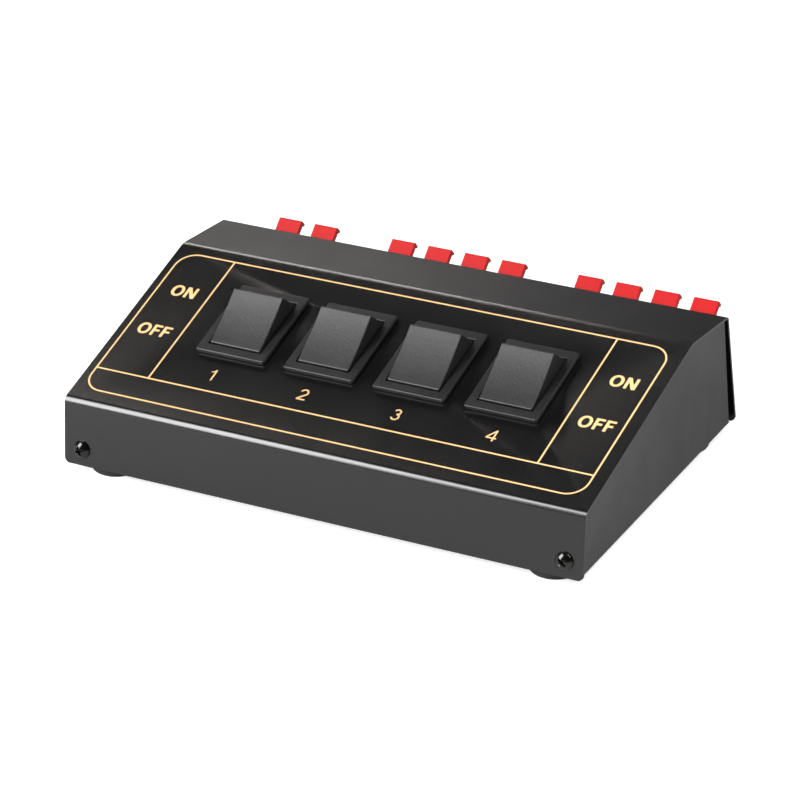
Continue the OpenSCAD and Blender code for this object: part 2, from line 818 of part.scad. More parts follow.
module leaf_springs(b) {
    low = cell_top - cell_h + strip_t;
    foot_len = 4;
    color(SPRING_STEEL)
        for (c = [1:BLOCK_COLUMNS[b]], row = [0, 1])
            at_cell(b, c, row) {
                translate([-strip_w / 2, leaf_y - leaf_t, low])
                    cube([strip_w, foot_len + leaf_t, leaf_t]);
                difference() {
                    translate([-strip_w / 2, leaf_y - leaf_t, low])
                        cube([strip_w, leaf_t, leaf_top - low]);
                    translate([-wire_window_w / 2, leaf_y - 2 * leaf_t, low + leaf_t])
                        cube([wire_window_w, 3 * leaf_t, wire_window_top - low - leaf_t]);
                }
            }
}

module lever(b, c, row) {
    color(row == 0 ? LEVER_RED : LEVER_BLACK)
        at_cell(b, c, row)
            translate([0, lever_pivot_y, lever_pivot_z]) {
                across(lever_w)
                    union() {
                        circle(r = lever_hub_r, $fn = fine_fn);
                        rotate(lever_rise) {
                            translate([0, tab_over_pivot - lever_t])
                                square([lever_len, lever_t]);
                            translate([lever_len - lip_len, tab_over_pivot - lever_t - lip_t])
                                square([lip_len, lever_t + lip_t]);
                        }
                    }
                // The nose that pushes the leaf spring back
                across(nose_w)
                    union() {
                        translate([-nose_r, -nose_len])
                            square([2 * nose_r, nose_len]);
                        translate([0, -nose_len])
                            circle(r = nose_r, $fn = fine_fn);
                    }
                rotate([0, 90, 0])
                    cylinder(h = lever_w + 2 * lever_pin_len, r = lever_pin_r, center = true, $fn = fine_fn);
            }
}

// ======================= Wiring =======================

loom_r = 2.6;
lead_r = 1.3;
splice_gap = 0.3;
// The loom's trunk runs across the case, behind the switches' tags
loom_y = corner_rear[0] - block_depth - strip_tail - 12;
loom_z = floor_z + chassis_t + loom_r + 0.3;
function switch_tag(i) = [
    switch_x0 + (i - 1) * switch_pitch,
    corner_fold[0] + switch_v * cos(panel_tilt) - (housing_floor_h - housing_floor_t - tag_len) * sin(panel_tilt),
    corner_fold[1] + switch_v * sin(panel_tilt) + (housing_floor_h - housing_floor_t - tag_len) * cos(panel_tilt)
];
function strip_end(b) = [
    block_x(b),
    corner_rear[0] - (block_depth + strip_tail) * cos(rear_splay)
        - (cell_top - cell_h - row_pitch) * sin(rear_splay),
    corner_rear[1] - (block_depth + strip_tail) * sin(rear_splay)
        + (cell_top - cell_h - row_pitch) * cos(rear_splay)
];

// A straight sleeved lead between two points
module lead(from, to, r) {
    d = to - from;
    len = norm(d);
    translate(from)
        rotate([0, acos(d[2] / len), atan2(d[1], d[0])])
            cylinder(h = len, r = r, $fn = fine_fn);
    translate(to)
        sphere(r = r, $fn = fine_fn);
}

// A bar across the ends of a row of tags or tails
module splice(middle, width) {
    lead(middle - [width / 2, 0, 0], middle + [width / 2, 0, 0], lead_r);
}

module wiring_loom() {
    ends = [for (i = [1:switch_count]) switch_tag(i)[0], for (b = [0:2]) block_x(b)];
    row_up = row_pitch * [0, -sin(rear_splay), cos(rear_splay)];
    color(WIRE_SLEEVE)
        centred() {
            lead([min(ends), loom_y, loom_z], [max(ends), loom_y, loom_z], loom_r);
            for (i = [1:switch_count]) {
                joint = switch_tag(i) - [0, 0, lead_r + splice_gap];
                knee = [joint[0], joint[1], loom_z];
                lead([joint[0], loom_y, loom_z], knee, lead_r);
                lead(knee, joint, lead_r);
                splice(joint, 2 * pole_x);
            }
            for (b = [0:2]) {
                low = strip_end(b) - [0, lead_r + splice_gap, 0];
                high = low + row_up;
                knee = [low[0], loom_y, low[2]];
                row_w = (BLOCK_COLUMNS[b] - 1) * terminal_pitch;
                lead([low[0], loom_y, loom_z], knee, lead_r);
                lead(knee, low, lead_r);
                lead(low, high, lead_r);
                splice(low, row_w);
                splice(high, row_w);
            }
        }
}

// ======================= What is drawn =======================

top_cover();
base_chassis();
cover_screws();
rubber_feet();
for (i = [1:switch_count]) {
    switch_housing(i);
    switch_rocker(i);
    switch_plungers(i);
    switch_contact_blades(i);
    switch_terminals(i);
}
for (b = [0:2]) {
    terminal_block(b);
    contact_strips(b);
    leaf_springs(b);
    for (row = [0:1], c = [1:BLOCK_COLUMNS[b]])
        lever(b, c, row);
}
wiring_loom();
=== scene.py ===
"""Looks of a desk-top speaker selector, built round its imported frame.

A folded sheet-steel console carries four rocker switches and gold print on its sloping
panel, and three blocks of sprung wire terminals on its rear wall.

Lengths are millimetres and angles are degrees unless a name says otherwise. Pieces are
modelled in millimetres and settled into the frame, in metres, when they are finished.
"""

from __future__ import annotations

import logging
import math
from collections.abc import Iterable, Sequence
from dataclasses import dataclass, field
from enum import Enum, IntEnum

import bmesh
import bpy
from mathutils import Euler, Matrix, Vector

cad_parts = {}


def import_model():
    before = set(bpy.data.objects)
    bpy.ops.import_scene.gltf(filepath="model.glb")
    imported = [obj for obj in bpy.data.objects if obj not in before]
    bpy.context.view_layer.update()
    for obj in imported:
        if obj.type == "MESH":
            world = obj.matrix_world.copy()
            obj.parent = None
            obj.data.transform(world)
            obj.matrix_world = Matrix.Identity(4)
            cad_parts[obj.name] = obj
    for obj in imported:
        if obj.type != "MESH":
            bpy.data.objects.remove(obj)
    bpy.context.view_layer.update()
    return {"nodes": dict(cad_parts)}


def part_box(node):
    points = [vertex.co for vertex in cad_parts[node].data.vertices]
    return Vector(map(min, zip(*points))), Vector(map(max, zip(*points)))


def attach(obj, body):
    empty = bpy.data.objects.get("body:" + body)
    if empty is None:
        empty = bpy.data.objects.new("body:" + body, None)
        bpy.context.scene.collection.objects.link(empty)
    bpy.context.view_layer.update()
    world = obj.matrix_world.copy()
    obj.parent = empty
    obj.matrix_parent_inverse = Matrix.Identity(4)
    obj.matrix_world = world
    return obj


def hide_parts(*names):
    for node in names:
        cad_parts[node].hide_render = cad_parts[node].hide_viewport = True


LOG = logging.getLogger("speaker_selector")

MM = 0.001
CASE_BODY = "case"
Outline = list[tuple[float, float]]
Sockets = Sequence[tuple[str, str]]

# Turns an outline drawn in (Y, Z) and drawn out along X into its place in space
ACROSS = Matrix(((0, 0, 1, 0), (1, 0, 0, 0), (0, 1, 0, 0), (0, 0, 0, 1)))
UPRIGHT = Matrix.Identity(4)

# How much more a large face counts than a small one beside it when normals are shaded
FACE_WEIGHT = 60
RIB_SIDES = 12

# Shared by all finishes: pits to each swell of the grain, and their share of its height
PITS_PER_SWELL = 2.7
PIT_SHARE = 0.45
# Levels of the noise between which an effect goes from none to full
GRAIN_TOPS = (0.5, 0.68)
GLOSS_DRIFT = (0.3, 0.7)
TONE_DRIFT = (0.35, 0.75)
GLOSS_PATCHES_PER_METRE = 55
TONE_PATCHES_PER_METRE = 35

# A frame node's points this near each other are merged, and faces this nearly level made one
MERGE_WITHIN = 0.002
FLAT_WITHIN = 0.5


# ============================ Outlines and solids ============================


def arc(centre: tuple[float, float], radius: float, start: float, end: float, steps: int) -> Outline:
    """Follows a round stretch.

    Args:
        centre: Middle of the arc.
        radius: Its radius.
        start: Angle at which it starts.
        end: Angle at which it ends.
        steps: Number of flats along it.

    Returns:
        The points of the arc, both ends included.
    """
    angles = [math.radians(start + (end - start) * k / steps) for k in range(steps + 1)]
    return [(centre[0] + radius * math.cos(a), centre[1] + radius * math.sin(a)) for a in angles]


def rounded_rect(width: float, length: float, radius: float, steps: int = 6) -> Outline:
    """Draws a rectangle with round corners about the origin, anticlockwise.

    Args:
        width: Size along the first axis.
        length: Size along the second axis.
        radius: Radius of the corners.
        steps: Number of flats in each corner.

    Returns:
        The points of the outline.
    """
    x, y = width / 2 - radius, length / 2 - radius
    corners = ((x, y, 0), (-x, y, 90), (-x, -y, 180), (x, -y, 270))
    return [p for cx, cy, a in corners for p in arc((cx, cy), radius, a, a + 90, steps)]


def oval(width: float, height: float, squareness: float, steps: int) -> Outline:
    """Draws a letter-like oval about the origin, anticlockwise.

    Args:
        width: Size along the first axis.
        height: Size along the second axis.
        squareness: 2 for an ellipse, more for squarer shoulders.
        steps: Number of points.

    Returns:
        The points of the outline.
    """
    points = []
    for k in range(steps):
        a = 2 * math.pi * k / steps
        c, s = math.cos(a), math.sin(a)
        points.append(
            (
                width / 2 * math.copysign(abs(c) ** (2 / squareness), c),
                height / 2 * math.copysign(abs(s) ** (2 / squareness), s),
            )
        )
    return points


def stroke(path: Outline, width: float) -> Outline:
    """Gives a path a pen's width.

    Args:
        path: Points along the middle of the stroke.
        width: Width of the pen.

    Returns:
        The outline of the stroke, with square ends.
    """
    left, right = [], []
    for k, point in enumerate(path):
        before, after = path[max(k - 1, 0)], path[min(k + 1, len(path) - 1)]
        along = Vector((after[0] - before[0], after[1] - before[1])).normalized()
        side = Vector((-along.y, along.x)) * width / 2
        left.append((point[0] + side.x, point[1] + side.y))
        right.append((point[0] - side.x, point[1] - side.y))
    return right + left[::-1]


def shifted(outline: Iterable[tuple[float, float]], dx: float, dy: float) -> Outline:
    """Returns the outline moved by (dx, dy)."""
    return [(x + dx, y + dy) for x, y in outline]


class Shaper:
    """Collects closed solids, in millimetres, for one mesh object."""

    def __init__(self) -> None:
        """Starts with no solid."""
        self.bm = bmesh.new()

    def loft(self, rings: Sequence[Sequence[Vector]], place: Matrix = UPRIGHT) -> None:
        """Skins a stack of rings and closes both its ends.

        Args:
            rings: Rings with equal numbers of points, anticlockwise seen from the last one.
            place: Where the solid goes.
        """
        loops = [[self.bm.verts.new(place @ p) for p in ring] for ring in rings]
        count = len(loops[0])
        for lower, upper in zip(loops, loops[1:]):
            for k in range(count):
                n = (k + 1) % count
                self.bm.faces.new((lower[k], lower[n], upper[n], upper[k]))
        self.bm.faces.new(loops[0][::-1])
        self.bm.faces.new(loops[-1])

    def prism(self, outline: Outline, low: float, high: float, place: Matrix = UPRIGHT) -> None:
        """Draws an outline out along Z.

        Args:
            outline: The outline, anticlockwise.
            low: Where the solid starts.
            high: Where it ends.
            place: Where the solid goes.
        """
        self.loft([[Vector((x, y, z)) for x, y in outline] for z in (low, high)], place)

    def box(self, low: Sequence[float], high: Sequence[float], place: Matrix = UPRIGHT) -> None:
        """Adds a box.

        Args:
            low: Its lowest corner.
            high: Its highest corner.
            place: Where the solid goes.
        """
        outline = [(low[0], low[1]), (high[0], low[1]), (high[0], high[1]), (low[0], high[1])]
        self.prism(outline, low[2], high[2], place)

    def ring(self, outer: Outline, inner: Outline, low: float, high: float) -> None:
        """Draws the band between two outlines out along Z.

        Args:
            outer: The outer outline, anticlockwise.
            inner: The inner outline, with as many points.
            low: Where the solid starts.
            high: Where it ends.
        """
        sections = [(outer, low), (outer, high), (inner, high), (inner, low)]
        loops = [[self.bm.verts.new((x, y, z)) for x, y in line] for line, z in sections]
        count = len(outer)
        for a, b in zip(loops, loops[1:] + loops[:1]):
            for k in range(count):
                n = (k + 1) % count
                self.bm.faces.new((a[k], a[n], b[n], b[k]))

    def lathe(self, profile: Outline, segments: int, place: Matrix = UPRIGHT) -> None:
        """Turns a profile about Z.

        Args:
            profile: (radius, height) of its points, up the outside from axis to axis.
            segments: Number of flats round the axis.
            place: Where the solid goes.
        """
        rows = []
        for radius, z in profile:
            count = 1 if radius == 0 else segments
            angles = [2 * math.pi * k / segments for k in range(count)]
            points = [Vector((radius * math.cos(a), radius * math.sin(a), z)) for a in angles]
            rows.append([self.bm.verts.new(place @ p) for p in points])
        for lower, upper in zip(rows, rows[1:]):
            for k in range(segments):
                n = (k + 1) % segments
                foot = [lower[k % len(lower)], lower[n % len(lower)]]
                head = [upper[n % len(upper)], upper[k % len(upper)]]
                self.bm.faces.new(dict.fromkeys(foot + head))

    def cylinder(self, radius: float, low: float, high: float, place: Matrix, segments: int = 48) -> None:
        """Adds a cylinder along Z.

        Args:
            radius: Its radius.
            low: Where it starts.
            high: Where it ends.
            place: Where the solid goes.
            segments: Number of flats round it.
        """
        self.lathe([(0, low), (radius, low), (radius, high), (0, high)], segments, place)

    def done(self, name: str) -> bpy.types.Object:
        """Turns the solids into a linked mesh object.

        Args:
            name: Name of the object.

        Returns:
            The object, still in millimetres.
        """
        bmesh.ops.recalc_face_normals(self.bm, faces=self.bm.faces)
        mesh = bpy.data.meshes.new(name)
        self.bm.to_mesh(mesh)
        self.bm.free()
        obj = bpy.data.objects.new(name, mesh)
        bpy.context.scene.collection.objects.link(obj)
        return obj


def bake_modifiers(obj: bpy.types.Object) -> bpy.types.Object:
    """Turns an object's modifiers into its own mesh.

    Args:
        obj: The object.

    Returns:
        The same object, with no modifiers left.
    """
    graph = bpy.context.evaluated_depsgraph_get()
    old = obj.data
    obj.data = bpy.data.meshes.new_from_object(obj.evaluated_get(graph))
    obj.modifiers.clear()
    bpy.data.meshes.remove(old)
    return obj


class Operation(Enum):
    """Ways in which one solid is combined with another."""

    CUT = "DIFFERENCE"
    WELD = "UNION"


def combine(obj: bpy.types.Object, tool: bpy.types.Object, operation: Operation) -> bpy.types.Object:
    """Cuts one solid with another, or joins them.

    Args:
        obj: The solid that stays.
        tool: The solid that is used up.
        operation: How they are combined.

    Returns:
        The solid that stays.
    """
    modifier = obj.modifiers.new("Boolean", "BOOLEAN")
    modifier.operation = operation.value
    modifier.object = tool
    modifier.solver = "EXACT"
    bake_modifiers(obj)
    bpy.data.objects.remove(tool)
    return obj


def soften(obj: bpy.types.Object, width: float, segments: int, angle: float = 30) -> bpy.types.Object:
    """Breaks an object's sharp edges.

    Args:
        obj: The object.
        width: Width of the bevel.
        segments: Number of flats across the bevel.
        angle: Edges that turn by more than this are broken.

    Returns:
        The same object, with the bevel in its mesh.
    """
    modifier = obj.modifiers.new("Bevel", "BEVEL")
    modifier.width = width
    modifier.segments = segments
    modifier.limit_method = "ANGLE"
    modifier.angle_limit = math.radians(angle)
    modifier.miter_outer = "MITER_ARC"
    return bake_modifiers(obj)


def settle(obj: bpy.types.Object, place: Matrix, material: bpy.types.Material, crease: float = 40) -> None:
    """Puts a finished solid into the frame and shades it.

    Args:
        obj: The solid, in millimetres.
        place: Where it goes, in millimetres.
        material: Its finish.
        crease: Edges that turn by more than this stay sharp.
    """
    obj.data.transform(Matrix.Scale(MM, 4) @ place)
    obj.data.materials.clear()
    obj.data.materials.append(material)
    shade(obj, crease)


def shade(obj: bpy.types.Object, crease: float) -> None:
    """Shades an object smooth, with flat faces kept flat beside their bevels.

    Args:
        obj: The object, in metres.
        crease: Edges that turn by more than this stay sharp.
    """
    mesh = obj.data
    mesh.polygons.foreach_set("use_smooth", [True] * len(mesh.polygons))
    mesh.polygons.foreach_set("material_index", [0] * len(mesh.polygons))
    mesh.set_sharp_from_angle(angle=math.radians(crease))
    modifier = obj.modifiers.new("Weighted normals", "WEIGHTED_NORMAL")
    modifier.keep_sharp = True
    modifier.weight = FACE_WEIGHT
    bake_modifiers(obj)


def copied(obj: bpy.types.Object, name: str) -> bpy.types.Object:
    """Copies an object and its mesh.

    Args:
        obj: The object to copy.
        name: Name of the copy.

    Returns:
        The linked copy.
    """
    twin = obj.copy()
    twin.data = obj.data.copy()
    twin.name = twin.data.name = name
    bpy.context.scene.collection.objects.link(twin)
    return twin


def stand_for(obj: bpy.types.Object, body: str, slot: str | None, *nodes: str) -> None:
    """Ties a finished piece to the frame.

    Args:
        obj: The piece.
        body: The body that it rides on.
        slot: Not used.
        nodes: The nodes that it stands for.
    """
    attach(obj, body)
    if nodes:
        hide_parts(*nodes)
    LOG.info("%s: %d faces on %s", obj.name, len(obj.data.polygons), body)


# ============================ Geometry Nodes ============================


class NodeTool:
    """A Geometry Nodes tree with named inputs, which ends in one realised, dressed mesh."""

    def __init__(self, name: str, inputs: Sockets) -> None:
        """Opens an empty tree.

        Args:
            name: Name of the tree.
            inputs: (name, socket type) of each input after the geometry.
        """
        self.tree = bpy.data.node_groups.new(name, "GeometryNodeTree")
        interface = self.tree.interface
        interface.new_socket("Geometry", in_out="INPUT", socket_type="NodeSocketGeometry")
        for label, kind in inputs:
            interface.new_socket(label, in_out="INPUT", socket_type=kind)
        interface.new_socket("Geometry", in_out="OUTPUT", socket_type="NodeSocketGeometry")
        self.source = self.tree.nodes.new("NodeGroupInput")

    def node(self, kind: str, **settings: object) -> bpy.types.Node:
        """Adds a node and sets its properties.

        Args:
            kind: Type of the node.
            settings: Its properties.

        Returns:
            The node.
        """
        made = self.tree.nodes.new(kind)
        for key, value in settings.items():
            setattr(made, key, value)
        return made

    def link(self, start: bpy.types.NodeSocket, end: bpy.types.NodeSocket) -> None:
        """Joins two sockets."""
        self.tree.links.new(start, end)

    def close(self, geometry: bpy.types.NodeSocket) -> None:
        """Realises the instances, sets the material and ends the tree.

        Args:
            geometry: What the tree has made.
        """
        realise = self.node("GeometryNodeRealizeInstances")
        dress = self.node("GeometryNodeSetMaterial")
        sink = self.node("NodeGroupOutput")
        self.link(geometry, realise.inputs[0])
        self.link(realise.outputs[0], dress.inputs["Geometry"])
        self.link(self.source.outputs["Material"], dress.inputs["Material"])
        self.link(dress.outputs[0], sink.inputs[0])

    def run(self, obj: bpy.types.Object, values: dict[str, object]) -> bpy.types.Object:
        """Runs the tree on an object.

        Args:
            obj: The object whose mesh goes in and whose mesh is replaced.
            values: Value of each named input.

        Returns:
            The same object, as a plain mesh.
        """
        modifier = obj.modifiers.new(self.tree.name, "NODES")
        modifier.node_group = self.tree
        for item in self.tree.interface.items_tree:
            if item.in_out == "INPUT" and item.name in values:
                modifier[item.identifier] = values[item.name]
        return bake_modifiers(obj)


def stamping_tool() -> NodeTool:
    """Builds the tree that puts one item on every point, turned as the point says.

    Returns:
        The tool.
    """
    tool = NodeTool(
        "Stamp an item on points",
        [("Item", "NodeSocketObject"), ("Size", "NodeSocketFloat"), ("Material", "NodeSocketMaterial")],
    )
    item = tool.node("GeometryNodeObjectInfo", transform_space="ORIGINAL")
    turn = tool.node("GeometryNodeInputNamedAttribute", data_type="FLOAT_VECTOR")
    turn.inputs["Name"].default_value = "turn"
    rotation = tool.node("FunctionNodeEulerToRotation")
    stamp = tool.node("GeometryNodeInstanceOnPoints")
    tool.link(tool.source.outputs["Item"], item.inputs["Object"])
    tool.link(tool.source.outputs["Geometry"], stamp.inputs["Points"])
    tool.link(item.outputs["Geometry"], stamp.inputs["Instance"])
    tool.link(turn.outputs["Attribute"], rotation.inputs[0])
    tool.link(rotation.outputs[0], stamp.inputs["Rotation"])
    tool.link(tool.source.outputs["Size"], stamp.inputs["Scale"])
    tool.close(stamp.outputs[0])
    return tool


def ribbing_tool() -> NodeTool:
    """Builds the tree that lays a row of half-round ribs across a tab.

    Returns:
        The tool.
    """
    tool = NodeTool(
        "Lay ribs across a tab",
        [
            ("Count", "NodeSocketInt"),
            ("First rib", "NodeSocketVector"),
            ("Step", "NodeSocketVector"),
            ("Rib radius", "NodeSocketFloat"),
            ("Rib length", "NodeSocketFloat"),
            ("Material", "NodeSocketMaterial"),
        ],
    )
    row = tool.node("GeometryNodeMeshLine", mode="OFFSET")
    rod = tool.node("GeometryNodeMeshCylinder")
    rod.inputs["Vertices"].default_value = RIB_SIDES
    stamp = tool.node("GeometryNodeInstanceOnPoints")
    stamp.inputs["Rotation"].default_value = Euler((0, math.pi / 2, 0))
    join = tool.node("GeometryNodeJoinGeometry")
    tool.link(tool.source.outputs["Count"], row.inputs["Count"])
    tool.link(tool.source.outputs["First rib"], row.inputs["Start Location"])
    tool.link(tool.source.outputs["Step"], row.inputs["Offset"])
    tool.link(tool.source.outputs["Rib radius"], rod.inputs["Radius"])
    tool.link(tool.source.outputs["Rib length"], rod.inputs["Depth"])
    tool.link(row.outputs["Mesh"], stamp.inputs["Points"])
    tool.link(rod.outputs["Mesh"], stamp.inputs["Instance"])
    tool.link(tool.source.outputs["Geometry"], join.inputs[0])
    tool.link(stamp.outputs[0], join.inputs[0])
    tool.close(join.outputs[0])
    return tool


def point_cloud(name: str, places: Sequence[Matrix]) -> bpy.types.Object:
    """Makes loose points that carry a turn each.

    Args:
        name: Name of the object.
        places: Place and turn of each point, in millimetres.

    Returns:
        The object.
    """
    mesh = bpy.data.meshes.new(name)
    mesh.from_pydata([p.translation for p in places], [], [])
    turns = mesh.attributes.new("turn", "FLOAT_VECTOR", "POINT")
    turns.data.foreach_set("vector", [a for p in places for a in p.to_euler()])
    obj = bpy.data.objects.new(name, mesh)
    bpy.context.scene.collection.objects.link(obj)
    return obj


# ============================ Finishes ============================


def srgb(red: int, green: int, blue: int) -> tuple[float, float, float, float]:
    """Turns a colour of 0 to 255 a channel into Blender's linear one.

    Args:
        red: Red channel.
        green: Green channel.
        blue: Blue channel.

    Returns:
        The linear colour, opaque.
    """

    def linear(value: int) -> float:
        """Returns one channel's linear value."""
        share = value / 255
        return share / 12.92 if share <= 0.04045 else ((share + 0.055) / 1.055) ** 2.4

    return linear(red), linear(green), linear(blue), 1.0


def shader_group(name: str, inputs: Sockets, outputs: Sockets) -> bpy.types.NodeTree:
    """Opens a shader node group.

    Args:
        name: Name of the group.
        inputs: (name, socket type) of each input.
        outputs: (name, socket type) of each output.

    Returns:
        The group, with its input and output nodes.
    """
    group = bpy.data.node_groups.new(name, "ShaderNodeTree")
    for label, kind in inputs:
        group.interface.new_socket(label, in_out="INPUT", socket_type=kind)
    for label, kind in outputs:
        group.interface.new_socket(label, in_out="OUTPUT", socket_type=kind)
    group.nodes.new("NodeGroupInput").name = "in"
    group.nodes.new("NodeGroupOutput").name = "out"
    return group


def start_from(node: bpy.types.Node, band: tuple[float, float]) -> None:
    """Sets the levels between which a Map Range node goes from one end to the other."""
    node.inputs["From Min"].default_value, node.inputs["From Max"].default_value = band


def grain_group() -> bpy.types.NodeTree:
    """Builds the fine moulded or sprayed grain: a coarse swell with fine pits on it.

    Returns:
        The group. Its height is 0 to 1, and its mask marks the tops of the grain.
    """
    group = shader_group(
        "Grain",
        [
            ("Vector", "NodeSocketVector"),
            ("Grains per metre", "NodeSocketFloat"),
            ("Sharpness", "NodeSocketFloat"),
        ],
        [("Height", "NodeSocketFloat"), ("Mask", "NodeSocketFloat")],
    )
    nodes, links = group.nodes, group.links
    swell, pits = nodes.new("ShaderNodeTexNoise"), nodes.new("ShaderNodeTexNoise")
    finer, blend = nodes.new("ShaderNodeMath"), nodes.new("ShaderNodeMix")
    mask = nodes.new("ShaderNodeMapRange")
    finer.operation = "MULTIPLY"
    finer.inputs[1].default_value = PITS_PER_SWELL
    blend.inputs["Factor"].default_value = PIT_SHARE
    start_from(mask, GRAIN_TOPS)
    for noise in (swell, pits):
        links.new(nodes["in"].outputs["Vector"], noise.inputs["Vector"])
        links.new(nodes["in"].outputs["Sharpness"], noise.inputs["Detail"])
    links.new(nodes["in"].outputs["Grains per metre"], swell.inputs["Scale"])
    links.new(nodes["in"].outputs["Grains per metre"], finer.inputs[0])
    links.new(finer.outputs[0], pits.inputs["Scale"])
    links.new(swell.outputs["Fac"], blend.inputs["A"])
    links.new(pits.outputs["Fac"], blend.inputs["B"])
    links.new(blend.outputs["Result"], nodes["out"].inputs["Height"])
    links.new(blend.outputs["Result"], mask.inputs["Value"])
    links.new(mask.outputs["Result"], nodes["out"].inputs["Mask"])
    return group


def handling_group() -> bpy.types.NodeTree:
    """Builds the slow drift that use and handling leave in a surface's gloss.

    Returns:
        The group. Its roughness lies between the two that go in.
    """
    group = shader_group(
        "Handling",
        [
            ("Vector", "NodeSocketVector"),
            ("Patches per metre", "NodeSocketFloat"),
            ("Glossiest", "NodeSocketFloat"),
            ("Dullest", "NodeSocketFloat"),
        ],
        [("Roughness", "NodeSocketFloat")],
    )
    nodes, links = group.nodes, group.links
    noise, spread = nodes.new("ShaderNodeTexNoise"), nodes.new("ShaderNodeMapRange")
    noise.inputs["Detail"].default_value = 3
    noise.inputs["Distortion"].default_value = 0.6
    start_from(spread, GLOSS_DRIFT)
    links.new(nodes["in"].outputs["Vector"], noise.inputs["Vector"])
    links.new(nodes["in"].outputs["Patches per metre"], noise.inputs["Scale"])
    links.new(noise.outputs["Fac"], spread.inputs["Value"])
    links.new(nodes["in"].outputs["Glossiest"], spread.inputs["To Min"])
    links.new(nodes["in"].outputs["Dullest"], spread.inputs["To Max"])
    links.new(spread.outputs["Result"], nodes["out"].inputs["Roughness"])
    return group


def tone_group() -> bpy.types.NodeTree:
    """Builds the slight drift of a colour, with lighter specks where the grain stands up.

    Returns:
        The group.
    """
    group = shader_group(
        "Tone",
        [
            ("Vector", "NodeSocketVector"),
            ("Colour", "NodeSocketColor"),
            ("Worn colour", "NodeSocketColor"),
            ("Mask", "NodeSocketFloat"),
            ("Wear", "NodeSocketFloat"),
        ],
        [("Colour", "NodeSocketColor")],
    )
    nodes, links = group.nodes, group.links
    noise, drift = nodes.new("ShaderNodeTexNoise"), nodes.new("ShaderNodeMapRange")
    both, mix = nodes.new("ShaderNodeMath"), nodes.new("ShaderNodeMix")
    noise.inputs["Scale"].default_value = TONE_PATCHES_PER_METRE
    noise.inputs["Detail"].default_value = 4
    start_from(drift, TONE_DRIFT)
    both.operation = "MULTIPLY_ADD"
    mix.data_type = "RGBA"
    links.new(nodes["in"].outputs["Vector"], noise.inputs["Vector"])
    links.new(noise.outputs["Fac"], drift.inputs["Value"])
    links.new(nodes["in"].outputs["Wear"], drift.inputs["To Max"])
    links.new(nodes["in"].outputs["Mask"], both.inputs[0])
    links.new(nodes["in"].outputs["Wear"], both.inputs[1])
    links.new(drift.outputs["Result"], both.inputs[2])
    links.new(both.outputs[0], mix.inputs["Factor"])
    links.new(nodes["in"].outputs["Colour"], mix.inputs["A"])
    links.new(nodes["in"].outputs["Worn colour"], mix.inputs["B"])
    links.new(mix.outputs["Result"], nodes["out"].inputs["Colour"])
    return group


@dataclass(frozen=True)
class Finish:
    """One surface finish: a base colour, its wear, its gloss and its grain."""

    name: str
    colour: tuple[float, float, float, float]
    worn: tuple[float, float, float, float]
    wear: float = 0.15
    glossiest: float = 0.38
    dullest: float = 0.46
    metallic: float = 0.0
    reflectance: float = 0.5
    coat: float = 0.0
    grains_per_metre: float = 2200.0
    grain_depth_mm: float = 0.012
    grain_detail: float = 2.0

    def build(self, groups: dict[str, bpy.types.NodeTree]) -> bpy.types.Material:
        """Builds the material.

        Args:
            groups: The shared groups by name.

        Returns:
            The material.
        """
        material = bpy.data.materials.new(self.name)
        material.use_nodes = True
        material.diffuse_color = self.colour
        nodes, links = material.node_tree.nodes, material.node_tree.links
        shader = nodes["Principled BSDF"]
        where = nodes.new("ShaderNodeTexCoord").outputs["Object"]
        grain, gloss, tone = (self._group(nodes, groups[key]) for key in ("grain", "handling", "tone"))
        bump = nodes.new("ShaderNodeBump")
        for used in (grain, gloss, tone):
            links.new(where, used.inputs["Vector"])
        grain.inputs["Grains per metre"].default_value = self.grains_per_metre
        grain.inputs["Sharpness"].default_value = self.grain_detail
        gloss.inputs["Patches per metre"].default_value = GLOSS_PATCHES_PER_METRE
        gloss.inputs["Glossiest"].default_value = self.glossiest
        gloss.inputs["Dullest"].default_value = self.dullest
        tone.inputs["Colour"].default_value = self.colour
        tone.inputs["Worn colour"].default_value = self.worn
        tone.inputs["Wear"].default_value = self.wear
        bump.inputs["Distance"].default_value = self.grain_depth_mm * MM
        shader.inputs["Metallic"].default_value = self.metallic
        shader.inputs["Specular IOR Level"].default_value = self.reflectance
        shader.inputs["Coat Weight"].default_value = self.coat
        links.new(grain.outputs["Height"], bump.inputs["Height"])
        links.new(grain.outputs["Mask"], tone.inputs["Mask"])
        links.new(bump.outputs["Normal"], shader.inputs["Normal"])
        links.new(gloss.outputs["Roughness"], shader.inputs["Roughness"])
        links.new(tone.outputs["Colour"], shader.inputs["Base Color"])
        return material

    @staticmethod
    def _group(nodes: bpy.types.Nodes, tree: bpy.types.NodeTree) -> bpy.types.Node:
        """Adds a node that uses a group.

        Args:
            nodes: Nodes of the material.
            tree: The group.

        Returns:
            The node.
        """
        node = nodes.new("ShaderNodeGroup")
        node.node_tree = tree
        return node


